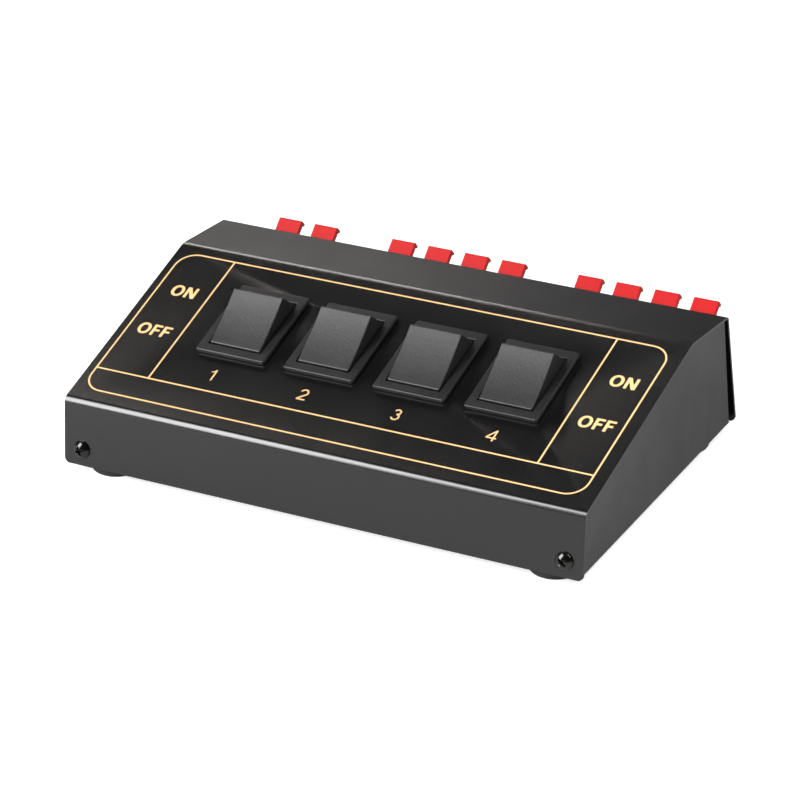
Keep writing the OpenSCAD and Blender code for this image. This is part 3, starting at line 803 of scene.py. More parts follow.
FINISHES = (
    Finish(
        "cover_paint", srgb(12, 12, 13), srgb(18, 18, 19), wear=0.25,
        glossiest=0.23, dullest=0.27, reflectance=0.62, grain_depth_mm=0.002,
    ),
    Finish(
        "chassis_paint", srgb(24, 24, 25), srgb(32, 32, 33), wear=0.25,
        glossiest=0.38, dullest=0.46, reflectance=0.7, grain_depth_mm=0.005,
    ),
    Finish(
        "gold_ink", srgb(234, 190, 132), srgb(216, 172, 114), wear=0.2,
        glossiest=0.45, dullest=0.6, grains_per_metre=5000, grain_depth_mm=0.004,
    ),
    Finish(
        "switch_plastic", srgb(26, 26, 27), srgb(36, 36, 38), wear=0.3,
        glossiest=0.38, dullest=0.46, grains_per_metre=2600, grain_depth_mm=0.02,
    ),
    Finish(
        "rocker_plastic", srgb(30, 30, 31), srgb(42, 42, 44), wear=0.35,
        glossiest=0.36, dullest=0.44, grains_per_metre=1500, grain_depth_mm=0.08, grain_detail=3,
    ),
    Finish(
        "terminal_plastic", srgb(26, 26, 27), srgb(38, 38, 40),
        glossiest=0.34, dullest=0.44, grain_depth_mm=0.012,
    ),
    Finish(
        "lever_red", srgb(178, 4, 8), srgb(192, 14, 16), wear=0.25,
        glossiest=0.36, dullest=0.46, reflectance=0.2, grain_depth_mm=0.006,
    ),
    Finish(
        "lever_black", srgb(24, 24, 25), srgb(38, 38, 40),
        glossiest=0.32, dullest=0.42, grain_depth_mm=0.006,
    ),
    Finish(
        "screw_black", srgb(48, 47, 46), srgb(92, 90, 88), wear=0.2,
        glossiest=0.12, dullest=0.2, metallic=0.9, reflectance=0.8, grain_depth_mm=0.003,
    ),
    Finish(
        "foot_rubber", srgb(30, 30, 30), srgb(52, 51, 50), wear=0.45,
        glossiest=0.72, dullest=0.85, grains_per_metre=1800, grain_depth_mm=0.06, grain_detail=4,
    ),
    Finish(
        "tinned_tags", srgb(196, 194, 186), srgb(150, 148, 142), wear=0.5,
        glossiest=0.22, dullest=0.38, metallic=1, grain_depth_mm=0.004,
    ),
    Finish(
        "copper_parts", srgb(208, 128, 84), srgb(132, 76, 52), wear=0.55,
        glossiest=0.2, dullest=0.4, metallic=1, grain_depth_mm=0.004,
    ),
    Finish(
        "spring_steel", srgb(168, 170, 176), srgb(120, 121, 126), wear=0.35,
        glossiest=0.18, dullest=0.3, metallic=1, grain_depth_mm=0.002,
    ),
    Finish(
        "wire_sleeve", srgb(38, 52, 120), srgb(60, 76, 150), wear=0.2,
        glossiest=0.32, dullest=0.46, grains_per_metre=900, grain_depth_mm=0.02,
    ),
)


class Palette:
    """All the finishes of the object, as materials."""

    def __init__(self) -> None:
        """Builds the shared groups and every material."""
        groups = {"grain": grain_group(), "handling": handling_group(), "tone": tone_group()}
        self.materials = {finish.name: finish.build(groups) for finish in FINISHES}

    def __getitem__(self, name: str) -> bpy.types.Material:
        """Returns the material of that name."""
        return self.materials[name]


# ============================ The folded case ============================


class Run(IntEnum):
    """The flat stretches of the case's section, numbered by the corner that each starts at."""

    FRONT = 0
    PANEL = 1
    TOP = 2
    REAR = 3


@dataclass(frozen=True)
class CaseShape:
    """Section and width of the folded case, and the frames of its faces."""

    y_shift: float
    width: float = 185.0
    clearance: float = 3.2
    front_len: float = 21.8
    front_lean: float = 10.0
    panel_len: float = 77.2
    panel_tilt: float = 15.5
    top_len: float = 26.1
    top_fall: float = 6.5
    rear_splay: float = 5.5
    sheet: float = 0.8
    fold_radii: tuple[float, ...] = (2.7, 6.0, 1.8)
    fold_steps: int = 14

    def run_angle(self, run: Run) -> float:
        """Returns the direction of a stretch, front to rear, from the level."""
        return (90 - self.front_lean, self.panel_tilt, -self.top_fall, self.rear_splay - 90)[run]

    def outward(self, run: Run) -> Vector:
        """Returns the outward normal of a stretch."""
        a = math.radians(self.run_angle(run))
        return Vector((-math.sin(a), math.cos(a)))

    def corners(self) -> list[Vector]:
        """Works out the sharp corners of the section.

        Returns:
            (y, z) of the five corners, front to rear, with y from the front edge.
        """
        points = [Vector((0, self.clearance))]
        for run, length in zip(Run, (self.front_len, self.panel_len, self.top_len)):
            points.append(points[-1] + self._along(run) * length)
        points.append(points[-1] + self._along(Run.REAR) * self.rear_len(points[-1].y))
        return points

    def rear_len(self, height: float) -> float:
        """Returns the length of a rear wall whose top is at that height."""
        return (height - self.clearance) / math.cos(math.radians(self.rear_splay))

    def section(self, depth: float) -> Outline:
        """Follows the sheet, with its folds, at a depth under its outer face.

        Args:
            depth: Depth under the outer face.

        Returns:
            (y, z) of the points, front to rear.
        """
        corners = self.corners()
        first = corners[0] - depth * self.outward(Run.FRONT)
        last = corners[-1] - depth * self.outward(Run.REAR)
        points = [tuple(first)]
        for before, after, radius in zip(Run, list(Run)[1:], self.fold_radii):
            out_before, out_after = self.outward(before), self.outward(after)
            centre = corners[after] - radius * (out_before + out_after) / (1 + out_before.dot(out_after))
            start, end = self.run_angle(before) + 90, self.run_angle(after) + 90
            points += arc(tuple(centre), radius - depth, start, end, self.fold_steps)
        return points + [tuple(last)]

    def panel(self) -> Matrix:
        """Returns the panel's frame: X across, Y up the slope, Z out of it."""
        return self._frame(Run.PANEL, self.panel_tilt)

    def front(self) -> Matrix:
        """Returns the front face's frame: X across, Y up it, Z out of it."""
        return self._frame(Run.FRONT, self.run_angle(Run.FRONT))

    def rear(self) -> Matrix:
        """Returns the rear wall's frame: X across, Y out of it, Z up it, from the rear fold."""
        return self._frame(Run.REAR, self.rear_splay)

    def _along(self, run: Run) -> Vector:
        """Returns the unit direction of a stretch."""
        a = math.radians(self.run_angle(run))
        return Vector((math.cos(a), math.sin(a)))

    def _frame(self, run: Run, turn: float) -> Matrix:
        """Returns the frame at the start of a stretch, turned about X."""
        y, z = self.corners()[run]
        return Matrix.Translation((0, y + self.y_shift, z)) @ Matrix.Rotation(math.radians(turn), 4, "X")


@dataclass(frozen=True)
class ScrewPlan:
    """Sizes of the four pan-head screws that hold the cover, and their places."""

    case: CaseShape
    thread_d: float = 2.9
    head_d: float = 6.0
    head_h: float = 2.0
    rim_h: float = 0.5
    length: float = 4.5
    inset_x: float = 6.5
    front_up: float = 5.4
    rear_up: float = 8.5
    rear_x: tuple[float, float] = (-42.4514, 27.0194)
    front_turns: tuple[float, float] = (20.0, 52.0)
    rear_turns_rad: tuple[float, float] = (0.3, 1.0)
    hole_play: float = 0.6

    def places(self) -> list[Matrix]:
        """Works out the frames that the heads stand on.

        Returns:
            One frame for each screw, with Z out of the sheet.
        """
        x = self.case.width / 2 - self.inset_x
        front = [
            self.case.front()
            @ Matrix.Translation((side * x, self.front_up, 0))
            @ Matrix.Rotation(math.radians(turn), 4, "Z")
            for side, turn in zip((-1, 1), self.front_turns)
        ]
        foot = -self.case.rear_len(self.case.corners()[Run.REAR].y) + self.rear_up
        lie = Matrix.Rotation(math.radians(-90), 4, "X")
        rear = [
            self.case.rear() @ Matrix.Translation((rx, 0, foot)) @ lie @ Matrix.Rotation(turn, 4, "Z")
            for rx, turn in zip(self.rear_x, self.rear_turns_rad)
        ]
        return front + rear


@dataclass(frozen=True)
class SwitchPlan:
    """Sizes of the rocker switches and their places on the panel."""

    case: CaseShape
    count: int = 4
    pitch: float = 32.3
    middle_v: float = 46.8
    opening_w: float = 19.4
    opening_len: float = 24.8
    bezel_side: float = 2.9
    bezel_end: float = 3.3
    bezel_h: float = 1.4
    body_side: float = 1.1
    body_end: float = 1.5
    body_bottom: float = -14.78
    cavity_bottom: float = -12.78
    pivot_depth: float = 2.2
    travel: float = 39.0
    cutout_play: float = 0.4

    def place(self, number: int) -> Matrix:
        """Returns the frame of a switch, numbered from 1, at its middle on the panel."""
        x = (number - (self.count + 1) / 2) * self.pitch
        return self.case.panel() @ Matrix.Translation((x, self.middle_v, 0))

    def body_size(self) -> tuple[float, float]:
        """Returns the width and length of the body under the panel."""
        return self.opening_w + 2 * self.body_side, self.opening_len + 2 * self.body_end


@dataclass(frozen=True)
class TerminalPlan:
    """Sizes of the terminal blocks and their places on the rear wall."""

    case: CaseShape
    names: tuple[str, ...] = ("input", "output_a", "output_b")
    columns: tuple[int, ...] = (2, 4, 4)
    middles: tuple[float, ...] = (-64.004, -7.281, 61.320)
    pitch: float = 13.62
    row_pitch: float = 13.4
    lever_w: float = 8.7
    cell_play: float = 0.6
    cell_depth: float = 11.0
    cell_top: float = -3.1
    cell_h: float = 10.2
    wall: float = 1.2
    rim: float = 1.4
    body_top: float = -2.2
    plate_top: float = -1.7
    plate_t: float = 2.0
    pivot_y: float = -4.5
    pivot_z: float = -8.0

    def cell_w(self) -> float:
        """Returns the width of a cell."""
        return self.lever_w + self.cell_play

    def body_w(self, block: int) -> float:
        """Returns the width of a block's body."""
        return (self.columns[block] - 1) * self.pitch + self.cell_w() + 2 * self.wall

    def body_bottom(self) -> float:
        """Returns the level of the blocks' underside."""
        return self.cell_top - self.cell_h - self.row_pitch - self.wall

    def block(self, block: int) -> Matrix:
        """Returns a block's frame, on the rear wall's."""
        return self.case.rear() @ Matrix.Translation((self.middles[block], 0, 0))

    def cell(self, block: int, column: int, row: int) -> Matrix:
        """Returns a cell's frame in its block's, with columns from 1 and rows from 0 down."""
        x = (column - (self.columns[block] + 1) / 2) * self.pitch
        return Matrix.Translation((x, 0, -row * self.row_pitch))


@dataclass(frozen=True)
class TopCover:
    """The folded sheet that is front, panel, top and rear wall in one."""

    case: CaseShape
    screws: ScrewPlan
    switches: SwitchPlan
    blocks: TerminalPlan
    corner_r: float = 2.0
    edge_break: float = 0.16
    window_play: float = 0.1
    corner_bite: float = 0.02
    cut_past: float = 1.0

    def build(self, palette: Palette) -> None:
        """Builds and dresses the sheet.

        Args:
            palette: The finishes.
        """
        case = self.case
        folded = Shaper()
        outline = case.section(case.sheet)[::-1] + case.section(0)
        place = Matrix.Translation((0, case.y_shift, 0)) @ ACROSS
        folded.prism(outline[::-1], -case.width / 2, case.width / 2, place)
        sheet = combine(folded.done("console_cover"), self._cuts(), Operation.CUT)
        soften(sheet, self.edge_break, segments=2)
        settle(sheet, UPRIGHT, palette["cover_paint"])
        stand_for(sheet, CASE_BODY, "cover_paint", "top_cover")

    def _cuts(self) -> bpy.types.Object:
        """Collects everything that is cut out of the sheet.

        Returns:
            The corners, the screws' holes, the switches' cutouts and the blocks' windows.
        """
        case, sheet, past = self.case, self.case.sheet, self.cut_past
        cuts = Shaper()
        foot = case.rear() @ Matrix.Translation((0, 0, -case.rear_len(case.corners()[Run.REAR].y)))
        rear_face = foot @ Matrix.Rotation(math.radians(90), 4, "X") @ Matrix.Scale(-1, 4, (0, 0, 1))
        for side in (-1, 1):
            for face in (case.front(), rear_face):
                cuts.prism(self._corner(side), -sheet - past, past, face)
        for place in self.screws.places():
            cuts.cylinder((self.screws.thread_d + self.screws.hole_play) / 2, -sheet - past, past, place)
        w, length = (size + self.switches.cutout_play for size in self.switches.body_size())
        for number in range(1, self.switches.count + 1):
            place = self.switches.place(number)
            cuts.box((-w / 2, -length / 2, -sheet - past), (w / 2, length / 2, past), place)
        play = self.window_play
        for block in range(len(self.blocks.names)):
            half = self.blocks.body_w(block) / 2 + play
            low = (-half, -sheet - past, self.blocks.body_bottom() - play)
            cuts.box(low, (half, past, self.blocks.body_top + play), self.blocks.block(block))
        return cuts.done("cover_cuts")

    def _corner(self, side: int) -> Outline:
        """Draws what rounds one free corner of the sheet.

        Args:
            side: -1 for the left end, 1 for the right one.

        Returns:
            The outline, in the frame of the face, with Y from its free edge.
        """
        r, edge = self.corner_r, self.case.width / 2
        bite, past = self.corner_bite, self.cut_past
        round_part = arc((edge - r + bite, r - bite), r, -90, 0, 10)
        outline = round_part + [(edge + past, r), (edge + past, -past), (edge - r, -past)]
        return outline if side > 0 else [(-x, y) for x, y in outline][::-1]


# ============================ Gold print ============================


class Word(Enum):
    """Words that mark the two ends of a switch's travel."""

    ON = "ON"
    OFF = "OFF"


@dataclass
class PanelPrint:
    """Gold lines, ON and OFF, and the numbers of the four switches."""

    case: CaseShape
    middle_x: float = -0.9
    half_w: float = 88.7
    low_v: float = 5.9
    high_v: float = 72.9
    corner_r: float = 6.5
    band_v: float = 15.5
    left_x: float = -70.1
    right_x: float = 68.8
    line_w: float = 0.56
    cap_h: float = 4.9
    stem_w: float = 1.0
    bar_w: float = 0.85
    letter_gap: float = 0.7
    o_width: float = 4.5
    o_taller: float = 0.2
    o_stem_share: float = 1.05
    o_squareness: tuple[float, float] = (2.15, 2.1)
    o_points: int = 48
    n_width: float = 3.95
    f_width: float = 3.0
    f_arm_shorter: float = 0.35
    f_arm_share: float = 0.585
    words: tuple[tuple[Word, float, float], ...] = (
        (Word.ON, -84.2, 53.0),
        (Word.OFF, -85.9, 33.9),
        (Word.ON, 74.6, 52.9),
        (Word.OFF, 72.9, 33.7),
    )
    digit_h: float = 4.8
    digit_pen: float = 0.52
    digit_v: float = 20.2
    digit_x: tuple[float, ...] = (-51.3, -18.4, 14.9, 48.1)
    ink_t: float = 0.03
    level_step: float = 0.002
    levels: int = 4
    _level: int = field(default=0, init=False)

    def build(self, palette: Palette) -> None:
        """Builds and dresses the print.

        Args:
            palette: The finishes.
        """
        ink = Shaper()
        self._frame_lines(ink)
        for word, x, v in self.words:
            self._word(ink, word, x, v)
        for number, x in enumerate(self.digit_x, start=1):
            for outline in self._digit(number):
                self._lay(ink, shifted(outline, x, self.digit_v))
        printed = ink.done("panel_print")
        settle(printed, self.case.panel(), palette["gold_ink"])
        stand_for(printed, CASE_BODY, None)

    def _lay(self, ink: Shaper, outline: Outline, hole: Outline | None = None) -> None:
        """Lays one stroke of ink, each a hair above the one before.

        Args:
            ink: Where the strokes are collected.
            outline: Outline of the stroke.
            hole: Outline of the hole in it.
        """
        top = self.ink_t + self.level_step * (self._level % self.levels)
        self._level += 1
        if hole:
            ink.ring(outline, hole, -self.ink_t, top)
        else:
            ink.prism(outline, -self.ink_t, top)

    def _frame_lines(self, ink: Shaper) -> None:
        """Draws the round-cornered frame and the three lines in it.

        Args:
            ink: Where the strokes are collected.
        """
        w, half = self.line_w, self.line_w / 2
        middle_v = (self.low_v + self.high_v) / 2
        width, length = 2 * self.half_w, self.high_v - self.low_v
        outer = rounded_rect(width + w, length + w, self.corner_r + half, 10)
        inner = rounded_rect(width - w, length - w, self.corner_r - half, 10)
        self._lay(ink, shifted(outer, self.middle_x, middle_v), shifted(inner, self.middle_x, middle_v))
        left, right = self.middle_x - self.half_w, self.middle_x + self.half_w
        self._lay(ink, stroke([(left, self.band_v), (right, self.band_v)], w))
        for x in (self.left_x, self.right_x):
            self._lay(ink, stroke([(x, self.band_v), (x, self.high_v)], w))

    def _word(self, ink: Shaper, word: Word, x: float, v: float) -> None:
        """Draws a word from its lower left corner.

        Args:
            ink: Where the strokes are collected.
            word: The word.
            x: Left end.
            v: Foot of the letters.
        """
        for letter in word.value:
            if letter == "O":
                width, height = self.o_width, self.cap_h + self.o_taller
                stems, bars = 2 * self.o_stem_share * self.stem_w, 2 * self.bar_w
                shape = oval(width, height, self.o_squareness[0], self.o_points)
                hole = oval(width - stems, height - bars, self.o_squareness[1], self.o_points)
                middle = (x + width / 2, v + self.cap_h / 2)
                self._lay(ink, shifted(shape, *middle), shifted(hole, *middle))
            else:
                width, outline = self._letter_n() if letter == "N" else self._letter_f()
                self._lay(ink, shifted(outline, x, v))
            x += width + self.letter_gap

    def _letter_n(self) -> tuple[float, Outline]:
        """Draws an N.

        Returns:
            Its width, and its outline from its lower left corner.
        """
        w, h, s = self.n_width, self.cap_h, self.stem_w
        knee, drop = 1.25 * s, 1.9 * s
        half = [(0, 0), (s, 0), (s, h - drop), (w - knee, 0), (w, 0)]
        return w, half + [(w - x, h - y) for x, y in half]

    def _letter_f(self) -> tuple[float, Outline]:
        """Draws an F.

        Returns:
            Its width, and its outline from its lower left corner.
        """
        w, h, s, bar = self.f_width, self.cap_h, self.stem_w, self.bar_w
        arm, high = w - self.f_arm_shorter, self.f_arm_share * h
        return w, [
            (0, 0), (s, 0), (s, high - bar), (arm, high - bar), (arm, high),
            (s, high), (s, h - bar), (w, h - bar), (w, h), (0, h),
        ]

    def _digit(self, number: int) -> list[Outline]:
        """Draws a digit with a round pen.

        Args:
            number: 1 to 4.

        Returns:
            The outlines of its strokes, from its lower left corner.
        """
        pen, h = self.digit_pen, self.digit_h
        half = pen / 2
        if number == 1:
            return [
                stroke([(1.7, 0), (1.7, h)], pen),
                stroke([(0.25, 3.62), (1.1, 3.85), (1.62, 4.62)], 0.8 * pen),
            ]
        if number == 2:
            bowl = arc((1.62, h - 1.22 - half), 1.22, 168, -38, 18)
            return [stroke(bowl + [(0.32, pen)], pen), stroke([(0.06, half), (3.1, half)], pen)]
        if number == 3:
            top = arc((1.55, h - 1.03 - half), 1.03, 158, -90, 18)
            low = arc((1.55, 1.22 + half), 1.22, 90, -162, 18)
            return [stroke(top, pen), stroke(low, pen)]
        return [
            stroke([(2.62, 0), (2.62, h)], pen),
            stroke([(0, 1.32), (3.6, 1.32)], pen),
            stroke([(2.5, h - 0.35), (0.16, 1.4)], pen),
        ]


# ============================ Chassis, screws, feet ============================


def refined(node: str, name: str, edge_break: float, material: bpy.types.Material) -> bpy.types.Object:
    """Copies a frame node and breaks its edges.

    Args:
        node: The node.
        name: Name of the copy.
        edge_break: Width of the broken edges.
        material: Finish of the copy.

    Returns:
        The finished copy, in metres.
    """
    obj = bpy.data.objects.new(name, bpy.data.objects[node].data.copy())
    bpy.context.scene.collection.objects.link(obj)
    bm = bmesh.new()
    bm.from_mesh(obj.data)
    bmesh.ops.remove_doubles(bm, verts=bm.verts, dist=MERGE_WITHIN * MM)
    flat = math.radians(FLAT_WITHIN)
    bmesh.ops.dissolve_limit(bm, angle_limit=flat, verts=bm.verts, edges=bm.edges)
    bm.to_mesh(obj.data)
    bm.free()
    obj.data.materials.clear()
    obj.data.materials.append(material)
    soften(obj, edge_break * MM, segments=2, angle=50)
    shade(obj, crease=35)
    return obj


@dataclass(frozen=True)
class Fasteners:
    """The four screws of the cover."""

    plan: ScrewPlan
    head_segments: int = 48
    recess_half_w: float = 0.42
    recess_reach: float = 1.75
    recess_depth: float = 1.3
    recess_above: float = 0.2
    recess_taper: float = 0.62
    recess_waist: float = 0.8
    recess_tip: float = 0.25
    thread_step: float = 0.8
    thread_depth: float = 0.25
    thread_start: float = 0.25
    thread_rise: float = 0.4
    thread_end: float = -0.4
    tip_share: float = 0.6
    edge_break: float = 0.05

    def build(self, palette: Palette, stamp: NodeTool) -> None:
        """Builds one screw and stamps it at the four places.

        Args:
            palette: The finishes.
            stamp: The stamping tree.
        """
        screw = combine(self._blank(), self._recess(), Operation.CUT)
        soften(screw, self.edge_break, segments=2, angle=35)
        screws = point_cloud("pan_head_screws", self.plan.places())
        stamp.run(screws, {"Item": screw, "Size": 1.0, "Material": palette["screw_black"]})
        bpy.data.objects.remove(screw)
        settle(screws, UPRIGHT, palette["screw_black"])
        stand_for(screws, CASE_BODY, "screw_black", "cover_screws")

    def _blank(self) -> bpy.types.Object:
        """Turns the domed head and the threaded shank.

        Returns:
            The screw without its recess, with its head's underside at the origin.
        """
        plan = self.plan
        rise = plan.head_h - plan.rim_h
        dome_r = (plan.head_d**2 / 4 + rise**2) / (2 * rise)
        sweep = math.degrees(math.asin(plan.head_d / 2 / dome_r))
        dome = arc((0, plan.head_h - dome_r), dome_r, 90 - sweep, 90, 12)
        dome[-1] = (0, plan.head_h)
        outer, core = plan.thread_d / 2, plan.thread_d / 2 - self.thread_depth
        shank = [(0, -plan.length), (core * self.tip_share, -plan.length)]
        turns = int(plan.length / self.thread_step)
        for turn in range(turns):
            low = -plan.length + (turn + self.thread_start) * self.thread_step
            shank += [(core, low), (outer, low + self.thread_rise * self.thread_step)]
        shank += [(core, self.thread_end), (core, 0)]
        turned = Shaper()
        turned.lathe(shank + [(plan.head_d / 2, 0), *dome], self.head_segments)
        return turned.done("screw")

    def _recess(self) -> bpy.types.Object:
        """Draws the tapered cross that is pressed into the head.

        Returns:
            The cross, in the screw's frame.
        """
        top, floor = self.plan.head_h + self.recess_above, self.plan.head_h - self.recess_depth
        w, reach = self.recess_half_w, self.recess_reach
        shrink = {reach: self.recess_taper, w: self.recess_waist}
        cross = [(reach, -w), (reach, w), (w, w), (w, reach), (-w, reach), (-w, w)]
        cross += [(-x, -y) for x, y in cross]
        low = [Vector((x * shrink[abs(x)], y * shrink[abs(y)], floor)) for x, y in cross]
        high = [Vector((x, y, top)) for x, y in cross]
        end = self.recess_tip
        tip = [Vector((x * end, y * end, floor - end)) for x, y in cross]
        pressed = Shaper()
        pressed.loft([tip, low, high])
        return pressed.done("recess")


@dataclass(frozen=True)
class Feet:
    """Four round rubber feet under the floor of the chassis."""

    case: CaseShape
    diameter: float = 18.0
    height: float = 3.75
    edge_r: float = 1.0
    front_row: tuple[float, float] = (13.9, 10.4)
    rear_row: tuple[float, float] = (12.0, 92.51)
    dimple_r: float = 4.2
    dimple_depth: float = 0.8
    dimple_slope: float = 0.4
    top_draft: float = 0.35
    top_r: float = 0.3
    plug_r: float = 1.9
    plug_h: float = 1.15
    barb_r: float = 2.4
    barb_tip_r: float = 1.5
    barb_h: float = 3.0
    segments: int = 72

    def build(self, palette: Palette, stamp: NodeTool) -> None:
        """Turns one foot and stamps it at the four places.

        Args:
            palette: The finishes.
            stamp: The stamping tree.
        """
        radius, edge, top = self.diameter / 2, self.edge_r, self.height
        flat_r = self.dimple_r - self.dimple_slope
        profile = [(0, self.dimple_depth), (flat_r, self.dimple_depth), (self.dimple_r, 0)]
        profile += arc((radius - edge, edge), edge, -90, 0, 6)
        profile += arc((radius - self.top_draft, top - self.top_r), self.top_r, 0, 90, 3)
        profile += [(self.plug_r, top), (self.plug_r, top + self.plug_h)]
        profile += [(self.barb_r, top + self.plug_h)]
        profile += [(self.barb_tip_r, top + self.barb_h), (0, top + self.barb_h)]
        turned = Shaper()
        turned.lathe(profile, self.segments)
        foot = turned.done("foot")
        places = [
            Matrix.Translation((side * (self.case.width / 2 - inset), y + self.case.y_shift, 0))
            for side in (-1, 1)
            for inset, y in (self.front_row, self.rear_row)
        ]
        feet = point_cloud("round_feet", places)
        stamp.run(feet, {"Item": foot, "Size": 1.0, "Material": palette["foot_rubber"]})
        bpy.data.objects.remove(foot)
        settle(feet, UPRIGHT, palette["foot_rubber"])
        stand_for(feet, CASE_BODY, "foot_rubber", "rubber_feet")


# ============================ Rocker switches ============================


@dataclass(frozen=True)
class RockerSwitch:
    """A rocker switch: a bezelled housing in the panel and the rocker that tilts in it."""

    plan: SwitchPlan
    foot_inset: float = 0.28
    step_h: float = 0.5
    step_slope: float = 0.06
    edge_break: float = 0.34
    corner_r: float = 0.6
    opening_r: float = 0.3
    lip_flare: float = 0.18
    rise: float = 7.55
    half_len: float = 9.96
    dip: float = 0.45
    play: float = 0.2
    draft: float = 0.35
    skirt_half: float = 12.04
    skirt_drop: float = 0.42
    skirt_thicker: float = 0.4
    skirt_foot: float = 1.0
    wall: float = 1.4
    pole_x: float = 4.75
    post_w: float = 5.2
    post_drop: float = 4.6
    post_sink: float = 0.4
    bore_r: float = 1.6
    bore_roof: float = 1.0
    trunnion_r: float = 1.5
    trunnion_out: float = 1.0
    trunnion_play: float = 0.05
    rocker_break: float = 0.32
    latch_len: float = 8.0
    latch_h: float = 2.4
    latch_out: float = 0.5
    latch_top: float = -0.95
    slot_w: float = 4.7
    slot_t: float = 0.9
    front_slot_y: float = -8.4
    rest_y: tuple[float, float] = (4.8, 7.2)
    rest_top: float = -11.48
    ledge_sink: float = 0.3
    weld: float = 0.5
    cut_past: float = 1.0

    def build(self, palette: Palette) -> None:
        """Builds one housing and one rocker and places a copy of each in every cutout.

        Args:
            palette: The finishes.
        """
        housing, rocker = self._housing(), self._rocker()
        off = Matrix.Translation((0, 0, -self.plan.pivot_depth)) @ Matrix.Rotation(
            math.radians(self.plan.travel / 2), 4, "X"
        )
        for number in range(1, self.plan.count + 1):
            place = self.plan.place(number)
            bezel = copied(housing, f"bezel_{number}")
            settle(bezel, place, palette["switch_plastic"], crease=32)
            stand_for(bezel, CASE_BODY, "switch_plastic", f"switch_{number}_housing")
            cap = copied(rocker, f"rocker_cap_{number}")
            settle(cap, place @ off, palette["rocker_plastic"])
            stand_for(cap, f"rocker_{number}", "rocker_plastic", f"switch_{number}_rocker")
        bpy.data.objects.remove(housing)
        bpy.data.objects.remove(rocker)

    def _housing(self) -> bpy.types.Object:
        """Builds the housing: bezel, body, latches, and the hollow that the rocker moves in.

        Returns:
            The housing, in the switch's frame.
        """
        plan = self.plan
        width = plan.opening_w + 2 * plan.bezel_side
        length = plan.opening_len + 2 * plan.bezel_end
        body_w, body_len = plan.body_size()
        shrink, top, edge = 2 * self.foot_inset, plan.bezel_h, self.edge_break
        rings = [
            (body_w, body_len, plan.body_bottom),
            (body_w, body_len, 0.0),
            (width - shrink, length - shrink, 0.0),
            (width - shrink, length - shrink, self.step_h),
            (width, length, self.step_h + self.step_slope),
        ]
        for x, z in arc((-edge, top - edge), edge, 0, 90, 3):
            rings.append((width + 2 * x, length + 2 * x, z))
        outer = Shaper()
        outer.loft([self._ring(w, n, z, self.corner_r) for w, n, z in rings])
        for end in (-1, 1):
            y = end * body_len / 2
            low = (-self.latch_len / 2, y - self.latch_out, self.latch_top - self.latch_h)
            outer.box(low, (self.latch_len / 2, y + self.latch_out, self.latch_top))
        hollow, flare = Shaper(), 2 * self.lip_flare
        sizes = [
            (0, plan.cavity_bottom),
            (0, top - self.lip_flare),
            (flare, top),
            (flare, top + self.cut_past),
        ]
        inner_w, inner_len, r = plan.opening_w, plan.opening_len, self.opening_r
        hollow.loft([self._ring(inner_w + d, inner_len + d, z, r) for d, z in sizes])
        bored = combine(outer.done("housing"), hollow.done("hollow"), Operation.CUT)
        self._add_blade_rest(bored)
        return combine(bored, self._housing_bores(), Operation.CUT)

    def _add_blade_rest(self, housing: bpy.types.Object) -> None:
        """Adds the ledge that the blades' rear ends rest on.

        Args:
            housing: The hollow housing, which the ledge is joined to.
        """
        half = self.plan.opening_w / 2 + self.ledge_sink
        ledge = Shaper()
        low = (-half, self.rest_y[0], self.plan.cavity_bottom - self.weld)
        ledge.box(low, (half, self.rest_y[1], self.rest_top))
        combine(housing, ledge.done("ledge"), Operation.WELD)

    def _housing_bores(self) -> bpy.types.Object:
        """Collects what is bored through the housing.

        Returns:
            The pivot's bore and the four slots for the tags.
        """
        bores = Shaper()
        half = self.plan.body_size()[0] / 2 + self.cut_past
        pivot = Matrix.Translation((0, 0, -self.plan.pivot_depth)) @ ACROSS
        bores.cylinder(self.trunnion_r + self.trunnion_play, -half, half, pivot)
        foot, roof = self.plan.body_bottom - self.cut_past, self.plan.cavity_bottom + self.weld
        for side in (-1, 1):
            x = side * self.pole_x
            for y in (0.0, self.front_slot_y):
                low = (x - self.slot_w / 2, y - self.slot_t / 2, foot)
                bores.box(low, (x + self.slot_w / 2, y + self.slot_t / 2, roof))
        return bores.done("bores")

    def _rocker(self) -> bpy.types.Object:
        """Builds the rocker: a dished cap, hollow below, with two posts and two trunnions.

        Returns:
            The rocker, in its pivot's frame, level.
        """
        cap = soften(self._cap(), self.rocker_break, segments=4, angle=20)
        inner = self.plan.opening_w / 2 - self.play - self.draft - self.wall
        roof = self.rise - self.dip - self.wall
        hollow, low = Shaper(), -self.skirt_drop - 2 * self.cut_past
        half_top, half_low = self.half_len - self.wall, self.skirt_half - self.wall - self.skirt_thicker
        outline = [(-half_low, low), (half_low, low), (half_top, roof), (-half_top, roof)]
        hollow.prism(outline, -inner, inner, ACROSS)
        combine(cap, hollow.done("hollow"), Operation.CUT)
        carriers = Shaper()
        wide = self.plan.opening_w / 2 - self.play
        for side in (-1, 1):
            x = side * self.pole_x
            carriers.box(
                (x - self.post_w / 2, -self.post_w / 2, -self.post_drop),
                (x + self.post_w / 2, self.post_w / 2, roof + self.post_sink),
            )
            start, end = sorted((side * (wide - self.wall), side * (wide + self.trunnion_out)))
            carriers.cylinder(self.trunnion_r, start, end, ACROSS)
        combine(cap, carriers.done("carriers"), Operation.WELD)
        bores = Shaper()
        mouth, blind_end = -self.post_drop - self.cut_past, roof - self.bore_roof
        for side in (-1, 1):
            axis = Matrix.Translation((side * self.pole_x, 0, 0))
            bores.cylinder(self.bore_r, mouth, blind_end, axis)
        return combine(cap, bores.done("bores"), Operation.CUT)

